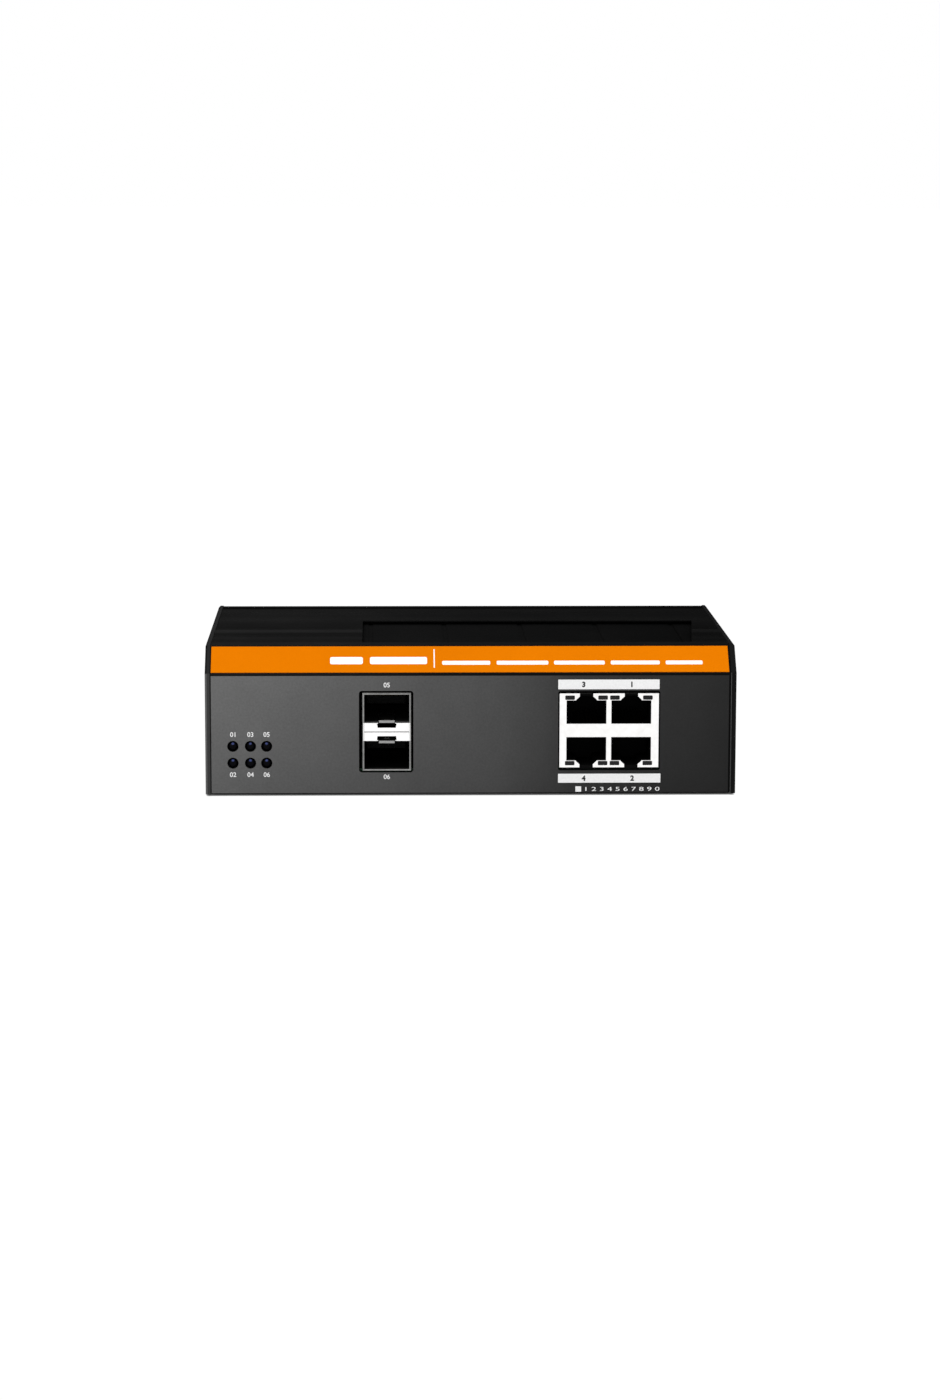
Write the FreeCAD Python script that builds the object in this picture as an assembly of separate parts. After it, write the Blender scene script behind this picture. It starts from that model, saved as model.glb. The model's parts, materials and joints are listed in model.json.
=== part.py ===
"""Compact industrial Ethernet switch in an extruded aluminium case.

Lies flat: +X to the right along the case, +Y from the port face to the rail clip,
+Z up. Origin: centre of the case footprint, on the plane it rests on. Millimetres.
One STEP per piece is written to parts/. Cutting tools overrun the faces they open,
mostly by 1 mm.
"""
import FreeCAD, Part
import math
import os

Vector = FreeCAD.Vector
ALONG_X = Vector(1, 0, 0)
ALONG_Y = Vector(0, 1, 0)
UP = Vector(0, 0, 1)

# ------------------------------------------------------------ shared dimensions
CASE_W = 165.6           # along X, over the end plates
CASE_D = 112.0           # along Y
CASE_H = 46.2            # along Z, top edge of the end plates
CHAMFER = 8.0            # 45 degree facet along both long top edges
END_T = 1.7              # end plate thickness
WALL = 2.0               # front and rear wall of the extrusion
TOP_WALL = 3.1
FRONT_INSET = 0.35       # front and facets of the extrusion, in from the end plates
INSET = 0.15             # top and rear of the extrusion, in from the end plates
COVER_T = 2.0            # bottom cover

HALF_W = CASE_W / 2
HALF_D = CASE_D / 2
BODY_X = HALF_W - END_T  # half length of the extrusion
FRONT_OUT = -HALF_D + FRONT_INSET
FRONT_IN = FRONT_OUT + WALL
REAR_OUT = HALF_D - INSET
REAR_IN = REAR_OUT - WALL
TOP_OUT = CASE_H - INSET
FACET_Z = CASE_H - CHAMFER

# end plate screw channels (y, z): two in the round bosses, two in the feet
CHANNELS = [(-49.0, 39.4), (49.0, 39.4), (-51.3, 3.9), (51.5, 3.9)]
SCREW_R = 1.44           # shank of the countersunk screws
TAPPED_R = 1.5

# windows in the port face: (x0, x1, z0, z1), corner radius
SFP_WINDOW = (-34.88, -18.03, 6.95, 32.6)
JACK_WINDOW = (27.22, 58.97, 7.45, 32.45)
WINDOWS = ((SFP_WINDOW, 0.9), (JACK_WINDOW, 0.7))

LED_X = (-74.2, -68.73, -63.7)
LED_PLACES = [(x, z) for x in LED_X for z in (15.25, 9.95)]
LED_HOLE_R = 1.7
LED_R = 1.5

# nameplate recess in the top; its right end leans outward towards the rear
POCKET_X0, POCKET_X1 = -33.88, 69.72
POCKET_Y0, POCKET_Y1 = -42.4, 9.6
POCKET_LEAN = 5.1 / 57.2
POCKET_Z = 44.2

# circuit board and its standoffs (x, y)
BOARD_Z, BOARD_T = 6.05, 1.6
BOARD_TOP = BOARD_Z + BOARD_T
PART_Z = BOARD_TOP + 0.03    # underside of the board's components
STANDOFFS = [(-52, -44.4), (8, -44.4), (70, -44.4), (-70, 43.6), (0, 43.6), (70, 2)]

# power terminal
TERM_Y, TERM_PITCH, TERM_POLES = 32.0, 5.08, 6
TERM_Y0, TERM_Y1 = TERM_Y - 16.4, TERM_Y + 16.4
POLE_Y = [TERM_Y + (i - (TERM_POLES - 1) / 2) * TERM_PITCH for i in range(TERM_POLES)]

RESET_Y, RESET_Z = -26.0, 12.4
EARTH_Y, EARTH_Z = 24.0, 22.0
BRACKET_SCREWS = [(x, z) for x in (-25.5, 25.5) for z in (5.9, 33.1)]


# --------------------------------------------------------------------- helpers
def around(centre, half):
    """The two limits of a span, for use in box()."""
    return centre - half, centre + half


def box(x0, x1, y0, y1, z0, z1):
    """Box between two limits on each axis, given in either order."""
    corner = Vector(min(x0, x1), min(y0, y1), min(z0, z1))
    return Part.makeBox(abs(x1 - x0), abs(y1 - y0), abs(z1 - z0), corner)


def cylinder(x, y, z, radius, length, axis=UP):
    return Part.makeCylinder(radius, length, Vector(x, y, z), axis)


def cone(x, y, z, radius0, radius1, length, axis=UP):
    return Part.makeCone(radius0, radius1, length, Vector(x, y, z), axis)


def prism(points, sweep):
    points = [Vector(*p) for p in points]
    return Part.Face(Part.makePolygon(points + [points[0]])).extrude(sweep)


def prism_x(yz, x0, x1):
    return prism([(x0, y, z) for y, z in yz], Vector(x1 - x0, 0, 0))


def prism_y(xz, y0, y1):
    return prism([(x, y0, z) for x, z in xz], Vector(0, y1 - y0, 0))


def prism_z(xy, z0, z1):
    return prism([(x, y, z0) for x, y in xy], Vector(0, 0, z1 - z0))


def fuse(shapes):
    return shapes[0].multiFuse(shapes[1:]).removeSplitter()


def cut(shape, tools):
    for tool in tools:
        shape = shape.cut(tool)
    return shape


def edges_along(shape, axis):
    """Edges that start out parallel to the axis 'x', 'y' or 'z'."""
    return [e for e in shape.Edges if abs(getattr(e.tangentAt(e.FirstParameter), axis)) > 0.99]


def rounded_box(x0, x1, z0, z1, radius, y0, y1):
    """Box with its four edges along Y rounded."""
    block = box(x0, x1, y0, y1, z0, z1)
    return block.makeFillet(radius, edges_along(block, "y"))


def port_face_tools(y0, y1, led_y1, grow=0.0):
    """Cutters for the windows and lamp holes of the port face, enlarged by grow."""
    tools = []
    for (x0, x1, z0, z1), corner in WINDOWS:
        tools.append(rounded_box(x0 - grow, x1 + grow, z0 - grow, z1 + grow, corner + grow, y0, y1))
    for x, z in LED_PLACES:
        tools.append(cylinder(x, y0, z, LED_HOLE_R + grow, led_y1 - y0, ALONG_Y))
    return tools


def v_groove(y, width, z_mouth, z_root, half_length):
    points = [(y - width / 2, z_mouth), (y, z_root), (y + width / 2, z_mouth)]
    return prism_x(points, -half_length, half_length)


def case_section(front, facet, top, rear):
    """Case section (y, z), set in from the nominal outline by the given amounts."""
    y_front, y_rear, z_top = -HALF_D + front, HALF_D - rear, CASE_H - top
    offset = HALF_D + FACET_Z - facet * math.sqrt(2)    # the facets lie on z = offset - |y|
    return [
        (y_front, 0.0), (y_front, y_front + offset), (z_top - offset, z_top),
        (offset - z_top, z_top), (y_rear, offset - y_rear), (y_rear, 0.0),
    ]


def pocket_prism(inset, y0, y1, z0, z1):
    """Plan outline of the nameplate recess between two Y values."""
    def right_end(y):
        return POCKET_X1 + POCKET_LEAN * (y - POCKET_Y0) - inset

    left = POCKET_X0 + inset
    return prism_z([(left, y0), (right_end(y0), y0), (right_end(y1), y1), (left, y1)], z0, z1)


def cross_slot(top, axis, half_length, half_width, depth):
    slot = box(*around(0, half_length), *around(0, half_width), -0.01, depth).fuse(
        box(*around(0, half_width), *around(0, half_length), -0.01, depth))
    slot.Placement = FreeCAD.Placement(top, FreeCAD.Rotation(UP, axis))
    return slot


def countersunk_screw(top, axis, length, head_r=2.9, head_h=1.45):
    """Head face centred at top, shank running along axis."""
    screw = fuse([
        Part.makeCone(head_r, SCREW_R, head_h, top, axis),
        Part.makeCylinder(SCREW_R, length - head_h, top + axis * head_h, axis),
    ])
    return screw.cut(cross_slot(top, axis, half_length=1.45, half_width=0.33, depth=1.1))


def save(name, shape):
    solids = shape.Solids
    assert solids and all(s.isValid() and s.Volume > 0 for s in solids), name
    result = solids[0] if len(solids) == 1 else Part.makeCompound(solids)
    result.exportStep(f"parts/{name}.step")


# ------------------------------------------------------------------ main shell
EDGE_R = 0.5             # radius on the long outer corners of the extrusion
FOOT_Y, FOOT_H = 48.3, 5.8
BOSS_R = 3.1
CHANNEL_DEPTH = 13
# ribs along the top: y of foot, crown, crown, foot, then rise
RIBS = ((-25.0, -22.6, -16.0, -13.6, 0.45), (11.2, 12.0, 14.2, 15.0, 0.15))
# grooves along the top: y, width, depth
TOP_GROOVES = (
    (-40.2, 1.6, 0.5), (-27.4, 2.4, 0.7), (-10.4, 2.4, 0.6), (30.0, 1.6, 0.4), (38.5, 1.6, 0.4),
)
REAR_GROOVE_Z = (9.0, 15.0, 31.0, 36.0)
RELIEF_Y, RELIEF_Z = -47.0, 12


def top_rib(foot0, crown0, crown1, foot1, rise):
    return prism_x([
        (foot0, TOP_OUT - 1), (foot0, TOP_OUT), (crown0, TOP_OUT + rise),
        (crown1, TOP_OUT + rise), (foot1, TOP_OUT), (foot1, TOP_OUT - 1),
    ], -BODY_X, BODY_X)


def main_shell():
    past = BODY_X + 1
    envelope = prism_x(case_section(FRONT_INSET, FRONT_INSET, INSET, INSET), -BODY_X, BODY_X)
    envelope = envelope.makeFillet(EDGE_R, edges_along(envelope, "x"))
    bore = case_section(FRONT_INSET + WALL, FRONT_INSET + WALL, INSET + TOP_WALL, INSET + WALL)
    bore[0] = (bore[0][0], -1.0)       # the section is open at the bottom
    bore[-1] = (bore[-1][0], -1.0)
    shell = envelope.cut(prism_x(bore, -past, past))
    feet = [box(-BODY_X, BODY_X, side * FOOT_Y, side * (wall + 0.5), 0, FOOT_H)
            for side, wall in ((-1, -FRONT_IN), (1, REAR_IN))]
    bosses = [cylinder(-BODY_X, y, z, BOSS_R, 2 * BODY_X, ALONG_X) for y, z in CHANNELS[:2]]
    shell = fuse([shell] + feet + bosses).common(envelope)
    shell = fuse([shell] + [top_rib(*rib) for rib in RIBS])

    tools = [v_groove(y, width, TOP_OUT + 0.01, TOP_OUT - depth, past)
             for y, width, depth in TOP_GROOVES]
    for z in REAR_GROOVE_Z:
        tools.append(prism_x([
            (REAR_OUT + 0.01, z - 0.8), (REAR_OUT - 0.5, z), (REAR_OUT + 0.01, z + 0.8),
        ], -past, past))
    # nameplate recess, running on under lips at the rear and front
    tools += [
        pocket_prism(0.0, POCKET_Y0, POCKET_Y1, POCKET_Z, CASE_H + 2),
        pocket_prism(0.0, POCKET_Y1 - 0.5, POCKET_Y1 + 3.4, POCKET_Z, TOP_OUT - 0.45),
        pocket_prism(0.0, POCKET_Y0 - 1.8, POCKET_Y0 + 0.5, POCKET_Z, TOP_OUT - 0.5),
    ]
    # stepped grooves for the bottom cover
    for side in (-1, 1):
        for y, z in ((49.9, 0.8), (48.4, -1)):
            tools.append(box(-past, past, side * 47.0, side * y, z, COVER_T + 0.1))
    for y, z in CHANNELS:
        for x in (-past, BODY_X - CHANNEL_DEPTH):
            tools.append(cylinder(x, y, z, TAPPED_R, CHANNEL_DEPTH + 1, ALONG_X))
    tools += port_face_tools(FRONT_OUT - 1, FRONT_IN + 1.6, FRONT_IN + 1)
    # relief behind the windows so that the jacks and the cage pass the front foot
    for x0, x1, z0 in ((SHIELD_X0 - 0.4, SHIELD_X1 + 0.4, JACK_WINDOW[2]), SFP_WINDOW[:3]):
        tools.append(box(x0, x1, FRONT_IN - 0.01, RELIEF_Y, z0, RELIEF_Z))
    tools += [cylinder(x, REAR_IN - 3, z, TAPPED_R, 6, ALONG_Y) for x, z in BRACKET_SCREWS]
    return cut(shell, tools).removeSplitter()


# ---------------------------------------------------------------- bottom cover
def bottom_cover():
    cover = fuse([
        box(-BODY_X, BODY_X, *around(0, 48.2), 0, COVER_T),
        box(-BODY_X, BODY_X, *around(0, 49.7), 0.95, COVER_T),
    ])
    tools = [cylinder(x, y, -1, 1.6, 4) for x, y in STANDOFFS]
    tools += [cone(x, y, -0.01, 3.06, 1.6, 1.46) for x, y in STANDOFFS]
    # shallow stiffening grooves on the underside
    tools += [v_groove(y, 2.4, -0.01, 0.45, 62) for y in (-30, -18, 18, 30)]
    return cut(cover, tools)


# ------------------------------------------------------------------ end plates
def end_outline(plate, x_face):
    """Outline edges of the plate's face at x_face."""
    found = []
    for face in plate.Faces:
        bounds = face.BoundBox
        if abs(bounds.XMin - x_face) < 1e-3 and abs(bounds.XMax - x_face) < 1e-3:
            found += face.OuterWire.Edges
    return found


def end_plate(side):
    """Plate with its screw holes; side is -1 for left, 1 for right."""
    outer, inner = side * HALF_W, side * BODY_X
    axis = ALONG_X * side
    plate = prism_x(case_section(0, 0, 0, 0), min(outer, inner), max(outer, inner))
    # the bottom edge of the outer face stays square
    rim = [e for e in end_outline(plate, outer) if e.BoundBox.ZMax > 0.1]
    plate = plate.makeChamfer(0.6, rim)
    plate = plate.makeChamfer(0.2, end_outline(plate, inner))
    tools = []
    for y, z in CHANNELS:
        tools.append(cylinder(inner - side, y, z, 1.6, 4, axis))
        tools.append(cone(outer - side * 1.35, y, z, 1.6, 3.05, 1.45, axis))
    return cut(plate, tools)


def end_plate_left():
    """Left plate with the reset hole and the earth screw hole."""
    return cut(end_plate(-1), [
        cylinder(-HALF_W - 1, RESET_Y, RESET_Z, 1.2, 4, ALONG_X),
        cylinder(-HALF_W - 1, EARTH_Y, EARTH_Z, 2.1, 4, ALONG_X),
    ])


def end_plate_right():
    """Right plate with the window for the power terminal."""
    window = box(BODY_X - 1, HALF_W + 1, TERM_Y0 - 0.2, TERM_Y1 + 0.2, 7.45, 17.8)
    return end_plate(1).cut(window)


def end_screws(side):
    x = side * (HALF_W - 0.05)
    return Part.makeCompound([
        countersunk_screw(Vector(x, y, z), ALONG_X * -side, 9.5) for y, z in CHANNELS])


# --------------------------------------------------- printed films, nameplate
FILM_T = 0.25
FILM_X0 = -BODY_X + 0.2      # bare strips are left at both ends of the films
FILM_X1 = BODY_X - 0.64


def front_film():
    film = box(FILM_X0, FILM_X1, FRONT_OUT - FILM_T, FRONT_OUT - 0.001, 0.45, FACET_Z - 0.85)
    return cut(film, port_face_tools(FRONT_OUT - 2, FRONT_OUT + 1, FRONT_OUT + 2, grow=0.05))


def band_film():
    """Film on the front facet: built flat, then turned onto it."""
    band = box(FILM_X0, FILM_X1, 0.5, CHAMFER * math.sqrt(2) - 0.75, 0.001, FILM_T)
    shift = FRONT_INSET * math.sqrt(0.5)
    band.Placement = FreeCAD.Placement(
        Vector(0, -HALF_D + shift, FACET_Z - shift), FreeCAD.Rotation(ALONG_X, 45))
    return band


def nameplate():
    plate = pocket_prism(0.2, POCKET_Y0 - 1.5, POCKET_Y1 + 3.0, POCKET_Z + 0.03, POCKET_Z + 0.48)
    return cut(plate, [
        box(*around(x, 0.75), POCKET_Y0 - 2, POCKET_Y1 + 4, POCKET_Z + 0.25, POCKET_Z + 1)
        for x in (-31.28, -7.28, 17.52, 42.22, 67.22)])


# ------------------------------------------------------------- circuit board
def main_pcb():
    board = box(-77.5, 76.0, -52.6, 50.0, BOARD_Z, BOARD_TOP)
    board = board.makeFillet(1.5, edges_along(board, "z"))
    tools = [cylinder(x, y, BOARD_Z - 1, 1.65, 4) for x, y in STANDOFFS]
    tools += [cylinder(PIN_X, y, BOARD_Z - 1, 0.8, 4) for y in POLE_Y]
    return cut(board, tools)


def hexagon(x, y, across_flats):
    radius = across_flats / math.sqrt(3)
    angles = [math.radians(60 * i + 30) for i in range(6)]
    return [(x + radius * math.cos(a), y + radius * math.sin(a)) for a in angles]


def board_standoffs():
    standoffs = []
    for x, y in STANDOFFS:
        post = fuse([
            prism_z(hexagon(x, y, 5.5), COVER_T + 0.02, BOARD_Z - 0.02),
            cylinder(x, y, BOARD_Z - 0.5, 1.6, BOARD_T + 0.9),
        ])
        standoffs.append(post.cut(cylinder(x, y, 0.0, TAPPED_R, BOARD_TOP - 0.4)))
    return Part.makeCompound(standoffs)


def board_screws():
    return Part.makeCompound([
        countersunk_screw(Vector(x, y, 0.05), UP, 6.6) for x, y in STANDOFFS])


# --------------------------------------------------------- 2x2 data jack block
SHIELD_X0, SHIELD_X1 = 27.62, 58.62
SHIELD_Z0, SHIELD_Z1 = 8.25, 31.65
SHIELD_T = 0.3
JACK_Y0, JACK_Y1 = -55.3, -24.0
JACK_MID_Z = 19.95
PORT_X = (36.02, 50.02)
SHIELD_OPENING = 12.44       # width of a jack's opening in the shield
PLUG_OPENING = 12.0          # and in the insulating body behind it
NOTCH_HALF = 2.1             # half width of the latch notch
CAVITY_Y = -39.5             # rear end of the plug cavity
PIVOT_Y, PIVOT_DZ = -51.6, 1.75     # front bead of the spring contacts, dz from the middle
# ground springs bowing out of the shield
TAB_Y0, TAB_PEAK_Y, TAB_Y1 = -53.3, -50.9, -46.0
# small light windows at the latch-side corners of each port
LIGHTS = [(x + dx, JACK_MID_Z + dz) for x in PORT_X for dx in (-5.15, 5.15)
          for dz in (10.35, -10.35)]


def port_outline(x_mid, side, width, reach):
    """Jack opening (x, z): side 1 has the latch on top, -1 below; the notch ends at reach."""
    right = [(width / 2, 2.1), (width / 2, 9.5), (3.3, 9.5), (3.05, 9.85),
             (NOTCH_HALF, 10.7), (NOTCH_HALF, reach)]
    left = [(-x, z) for x, z in reversed(right)]
    return [(x_mid + x, JACK_MID_Z + side * z) for x, z in right + left]


def tab_outline(face, side, bulge):
    """Ground spring section (offset axis, y) on a sheet face looking towards side."""
    points = ((-0.28, TAB_Y0), (0.02, TAB_Y0), (bulge, TAB_PEAK_Y),
              (0.02, TAB_Y1), (-0.28, TAB_Y1), (0.0, TAB_PEAK_Y))
    return [(face + side * out, y) for out, y in points]


def rj45_shield():
    front_in = JACK_Y0 + SHIELD_T
    shield = box(SHIELD_X0, SHIELD_X1, JACK_Y0, JACK_Y1, SHIELD_Z0, SHIELD_Z1).cut(
        box(SHIELD_X0 + SHIELD_T, SHIELD_X1 - SHIELD_T, front_in, JACK_Y1 - SHIELD_T,
            SHIELD_Z0 - 1, SHIELD_Z1 - SHIELD_T))
    tools = []
    for x in PORT_X:
        for side in (1, -1):
            outline = port_outline(x, side, SHIELD_OPENING, reach=13.5)
            tools.append(prism_y(outline, JACK_Y0 - 1, front_in + 0.01))
        # the latch notch runs on through the front edge of the top sheet
        tools.append(box(*around(x, NOTCH_HALF), JACK_Y0 - 1, JACK_Y0 + 1.2,
                         SHIELD_Z1 - SHIELD_T - 0.2, SHIELD_Z1 + 1))
    for x, z in LIGHTS:
        tools.append(rounded_box(*around(x, 1.5), *around(z, 0.68), 0.3,
                                 JACK_Y0 - 1, front_in + 0.01))
    shield = cut(shield, tools)
    # windows that free the ground springs on the sides and the top
    slot_y = (TAB_Y0 - 0.1, TAB_Y1)
    tabs = []
    for z in (13.5, 20.2, 26.9):
        for side, face in ((-1, SHIELD_X0), (1, SHIELD_X1)):
            shield = shield.cut(box(face - side * (SHIELD_T + 0.1), face + side * 0.1,
                                    *slot_y, *around(z, 1.1)))
            tabs.append(prism_z(tab_outline(face, side, 0.3), *around(z, 0.95)))
    for x in (32.72, 43.02, 53.42):
        shield = shield.cut(box(*around(x, 1.3), *slot_y,
                                SHIELD_Z1 - SHIELD_T - 0.1, SHIELD_Z1 + 0.1))
        outline = [(y, z) for z, y in tab_outline(SHIELD_Z1, 1, 0.28)]
        tabs.append(prism_x(outline, *around(x, 1.1)))
    # each spring joins the sheet along its rear edge
    return fuse([shield] + tabs)


def rj45_insulator():
    gap = SHIELD_T + 0.05
    body = box(SHIELD_X0 + gap, SHIELD_X1 - gap, JACK_Y0 + gap, JACK_Y1 - gap,
               BOARD_TOP + 0.1, SHIELD_Z1 - gap)
    tools = []
    for x in PORT_X:
        for side in (1, -1):
            outline = port_outline(x, side, PLUG_OPENING, reach=11.0)
            tools.append(prism_y(outline, JACK_Y0 - 1, CAVITY_Y))
            # slot under the spring contacts, and the groove their beads turn in
            for y, depth in ((PIVOT_Y, 1.5), (-51.0, 1.0)):
                tools.append(box(*around(x, 4.3), y, CAVITY_Y,
                                 JACK_MID_Z + side * depth, JACK_MID_Z + side * 2.6))
            tools.append(cylinder(x - 4.3, PIVOT_Y, JACK_MID_Z + side * PIVOT_DZ,
                                  0.33, 8.6, ALONG_X))
    for x, z in LIGHTS:
        tools.append(box(*around(x, 1.45), JACK_Y0 - 1, -47.4, *around(z, 0.6)))
    # only the main body is kept, without any slivers cut free
    return max(cut(body, tools).Solids, key=lambda solid: solid.Volume)


def rj45_light_pipes():
    return Part.makeCompound([
        box(*around(x, 1.4), JACK_Y0 + 0.05, -47.5, *around(z, 0.55)) for x, z in LIGHTS])


def rj45_springs(x_mid, side):
    """Eight sloping wires of one port, each with a bead at the front and one at the tip."""
    pitch, half_width, half_thick = 1.02, 0.2, 0.16
    length, slope = 8.6, math.radians(19.0)
    tip_y, tip_z = length * math.cos(slope), length * math.sin(slope)
    off_y, off_z = half_thick * math.sin(slope), half_thick * math.cos(slope)
    pivot_z = JACK_MID_Z + side * PIVOT_DZ
    section = [(off_y, -off_z), (tip_y + off_y, tip_z - off_z),
               (tip_y - off_y, tip_z + off_z), (-off_y, off_z)]
    section = [(PIVOT_Y + y, pivot_z + side * z) for y, z in section]
    wires = []
    for i in range(8):
        x0, x1 = around(x_mid + (i - 3.5) * pitch, half_width)
        wires.append(fuse([
            prism_x(section, x0, x1),
            cylinder(x0, PIVOT_Y, pivot_z, 0.28, x1 - x0, ALONG_X),
            cylinder(x0, PIVOT_Y + tip_y, pivot_z + side * tip_z, 0.24, x1 - x0, ALONG_X),
        ]))
    return Part.makeCompound(wires)


# -------------------------------------------------------- stacked module cage
SFP_X = -26.28
BAY_W, BAY_H = 14.1, 8.95
LOWER_BAY_Z, UPPER_BAY_Z = 7.95, 22.55
SFP_T = 0.25                 # sheet thickness
SFP_Y0, SFP_Y1 = -56.0, -8.0
BAY_X0, BAY_X1 = around(SFP_X, BAY_W / 2)
CAGE_Z0 = LOWER_BAY_Z - SFP_T
CAGE_Z1 = UPPER_BAY_Z + BAY_H + SFP_T
LOWER_BAY_TOP = LOWER_BAY_Z + BAY_H
SEAM_Z = (UPPER_BAY_Z + LOWER_BAY_TOP) / 2
LATCH_Y = -38.0
COLLAR_T = 0.2
CONTACT_X = [SFP_X + (i - 4.5) * 0.8 for i in range(10)]


def sfp_cage():
    cage = box(BAY_X0 - SFP_T, BAY_X1 + SFP_T, SFP_Y0, SFP_Y1, CAGE_Z0, CAGE_Z1).cut(
        box(BAY_X0, BAY_X1, SFP_Y0 - 1, SFP_Y1 - SFP_T, CAGE_Z0 + SFP_T, CAGE_Z1 - SFP_T))
    # vent holes in the rear sheet and in the sides
    vents = [cylinder(SFP_X + dx, SFP_Y1 - 1, z, 0.7, 3, ALONG_Y)
             for dx in (-4.3, 0, 4.3) for z in (10.9, 27.5)]
    vents += [cylinder(BAY_X0 - 2, y, z, 0.9, 20, ALONG_X)
              for y in (-44, -38, -32, -26, -20) for z in (12.6, 27.5)]
    return cut(cage, vents)


def divider_sheet(face, side, root_half):
    """Folded sheet whose bay face looks towards side, with a front flange to the seam."""
    x0, x1 = BAY_X0 + 0.05, BAY_X1 - 0.05
    flange_y = SFP_Y0 + SFP_T
    mouth_half = 3.1
    sheet = fuse([
        box(x0, x1, SFP_Y0, -12.0, face - side * SFP_T, face),
        box(x0, x1, SFP_Y0, flange_y, SEAM_Z + side * 0.12, face),
    ])
    mouth_z, root_z = face + side * 0.01, face - side * 1.5
    notch = prism_y([
        (SFP_X - mouth_half, mouth_z), (SFP_X - root_half, root_z),
        (SFP_X + root_half, root_z), (SFP_X + mouth_half, mouth_z),
    ], SFP_Y0 - 1, flange_y + 0.01)
    slot = box(*around(SFP_X, 2.7), flange_y - 0.01, LATCH_Y + 0.4,
               face - side * (SFP_T + 1), face + side)
    return cut(sheet, [notch, slot])


def sfp_divider():
    return Part.makeCompound([
        divider_sheet(UPPER_BAY_Z, 1, root_half=2.8),
        divider_sheet(LOWER_BAY_TOP, -1, root_half=2.9),
    ])


def sfp_latch(face, side):
    """Latch tongue: rolled root, triangular catch window, turned-in front lip."""
    x0, x1 = around(SFP_X, 2.45)
    y = SFP_Y0 + SFP_T + 0.06
    z = face + side * SFP_T / 2
    tongue = fuse([
        box(x0, x1, y, LATCH_Y, *around(z, SFP_T / 2)),
        box(x0, x1, y, y + 0.3, z, z + side * 0.65),
        cylinder(x0, LATCH_Y, z, 0.3, x1 - x0, ALONG_X),
    ])
    catch = [(SFP_X - 1.3, y + 5.2), (SFP_X + 1.3, y + 5.2), (SFP_X, y + 2.4)]
    return tongue.cut(prism_z(catch, *around(z, 2)))


def finger_outline(base, side, rise):
    """Finger section (offset axis, y), bulging outward between its two ends."""
    points = ((0.0, -55.7), (COLLAR_T, -55.7), (rise, -54.8), (rise, -54.4),
              (COLLAR_T, -53.0), (0.0, -53.0), (rise - 0.26, -54.5))
    return [(base + side * out, y) for out, y in points]


def sfp_collar():
    """Spring-finger collar round the cage mouth."""
    gap = 0.03
    x0, x1 = BAY_X0 - SFP_T - gap, BAY_X1 + SFP_T + gap
    z0, z1 = CAGE_Z0 - gap, CAGE_Z1 + gap
    collar = box(x0 - COLLAR_T, x1 + COLLAR_T, -55.75, -53.9, z0 - COLLAR_T, z1 + COLLAR_T)
    collar = collar.cut(box(x0, x1, -57, -53, z0, z1))
    fingers = []
    for i in range(5):
        z = z0 + (i + 0.5) * (z1 - z0) / 5
        for base, side in ((x0, -1), (x1, 1)):
            fingers.append(prism_z(finger_outline(base, side, rise=0.62), *around(z, 1.75)))
    outline = [(y, z) for z, y in finger_outline(z1, 1, rise=0.38)]
    for i in range(3):
        x = x0 + (i + 0.5) * (x1 - x0) / 3
        fingers.append(prism_x(outline, *around(x, 1.7)))
    return fuse([collar] + fingers)


def sfp_connectors():
    """Edge connectors at the back of the bays."""
    connectors = []
    for bay_z in (LOWER_BAY_Z, UPPER_BAY_Z):
        body = box(BAY_X0 + 0.9, BAY_X1 - 0.9, -19.5, SFP_Y1 - SFP_T - 0.1,
                   bay_z + 0.5, bay_z + BAY_H - 0.6)
        z = bay_z + 3.9
        tools = [box(*around(SFP_X, 4.7), -20, -12.5, *around(z, 0.65))]
        tools += [box(*around(x, 0.2), -20, -13.0, z + side * 0.45, z + side * 1.05)
                  for x in CONTACT_X for side in (-1, 1)]
        connectors.append(cut(body, tools))
    return Part.makeCompound(connectors)


def sfp_contacts():
    return Part.makeCompound([
        box(*around(x, 0.13), -19.3, -13.1, z + side * 0.42, z + side * 0.85)
        for z in (LOWER_BAY_Z + 3.9, UPPER_BAY_Z + 3.9) for x in CONTACT_X for side in (-1, 1)])


# ------------------------------------------------------------- indicator lamps
LED_Y = -54.55               # centre of the domed tip


def led_holder():
    holder = box(LED_X[0] - 2.5, LED_X[-1] + 2.5, -53.2, -45.5, BOARD_TOP + 0.02, 18.6)
    return cut(holder, [cylinder(x, -54, z, radius, length, ALONG_Y)
                        for x, z in LED_PLACES for radius, length in ((1.75, 2.9), (1.0, 7.0))])


def status_leds():
    return Part.makeCompound([fuse([
        cylinder(x, LED_Y, z, LED_R, 3.3, ALONG_Y),
        cylinder(x, -52.0, z, LED_R + 0.2, 0.8, ALONG_Y),
        Part.makeSphere(LED_R, Vector(x, LED_Y, z)),
        cylinder(x, -51.5, z, 0.8, 3.6, ALONG_Y),
    ]) for x, z in LED_PLACES])


# -------------------------------------------------------------- power terminal
HEADER_Z0, HEADER_Z1 = BOARD_TOP + 0.05, 17.6
PIN_X, PIN_Z = 72.0, 13.2    # upright leg of the pins, height of their long arm
PLUG_X1, PLUG_TOP = 88.9, 22.2
CLAMP_X = 85.9               # screw and clamp centre
WIRE_Z = 12.95


def terminal_header():
    header = box(70.6, HALF_W - 0.1, TERM_Y0, TERM_Y1, HEADER_Z0, HEADER_Z1)
    tools = [box(74.0, HALF_W + 1, TERM_Y0 + 1.0, TERM_Y1 - 1.0, HEADER_Z0 + 1.0, HEADER_Z1 - 1.0)]
    tools += [box(70, 75, *around(y, 0.55), *around(PIN_Z, 0.55)) for y in POLE_Y]
    tools += [box(*around(PIN_X, 0.6), *around(y, 0.6), HEADER_Z0 - 1, PIN_Z + 0.2)
              for y in POLE_Y]
    return cut(header, tools)


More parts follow.
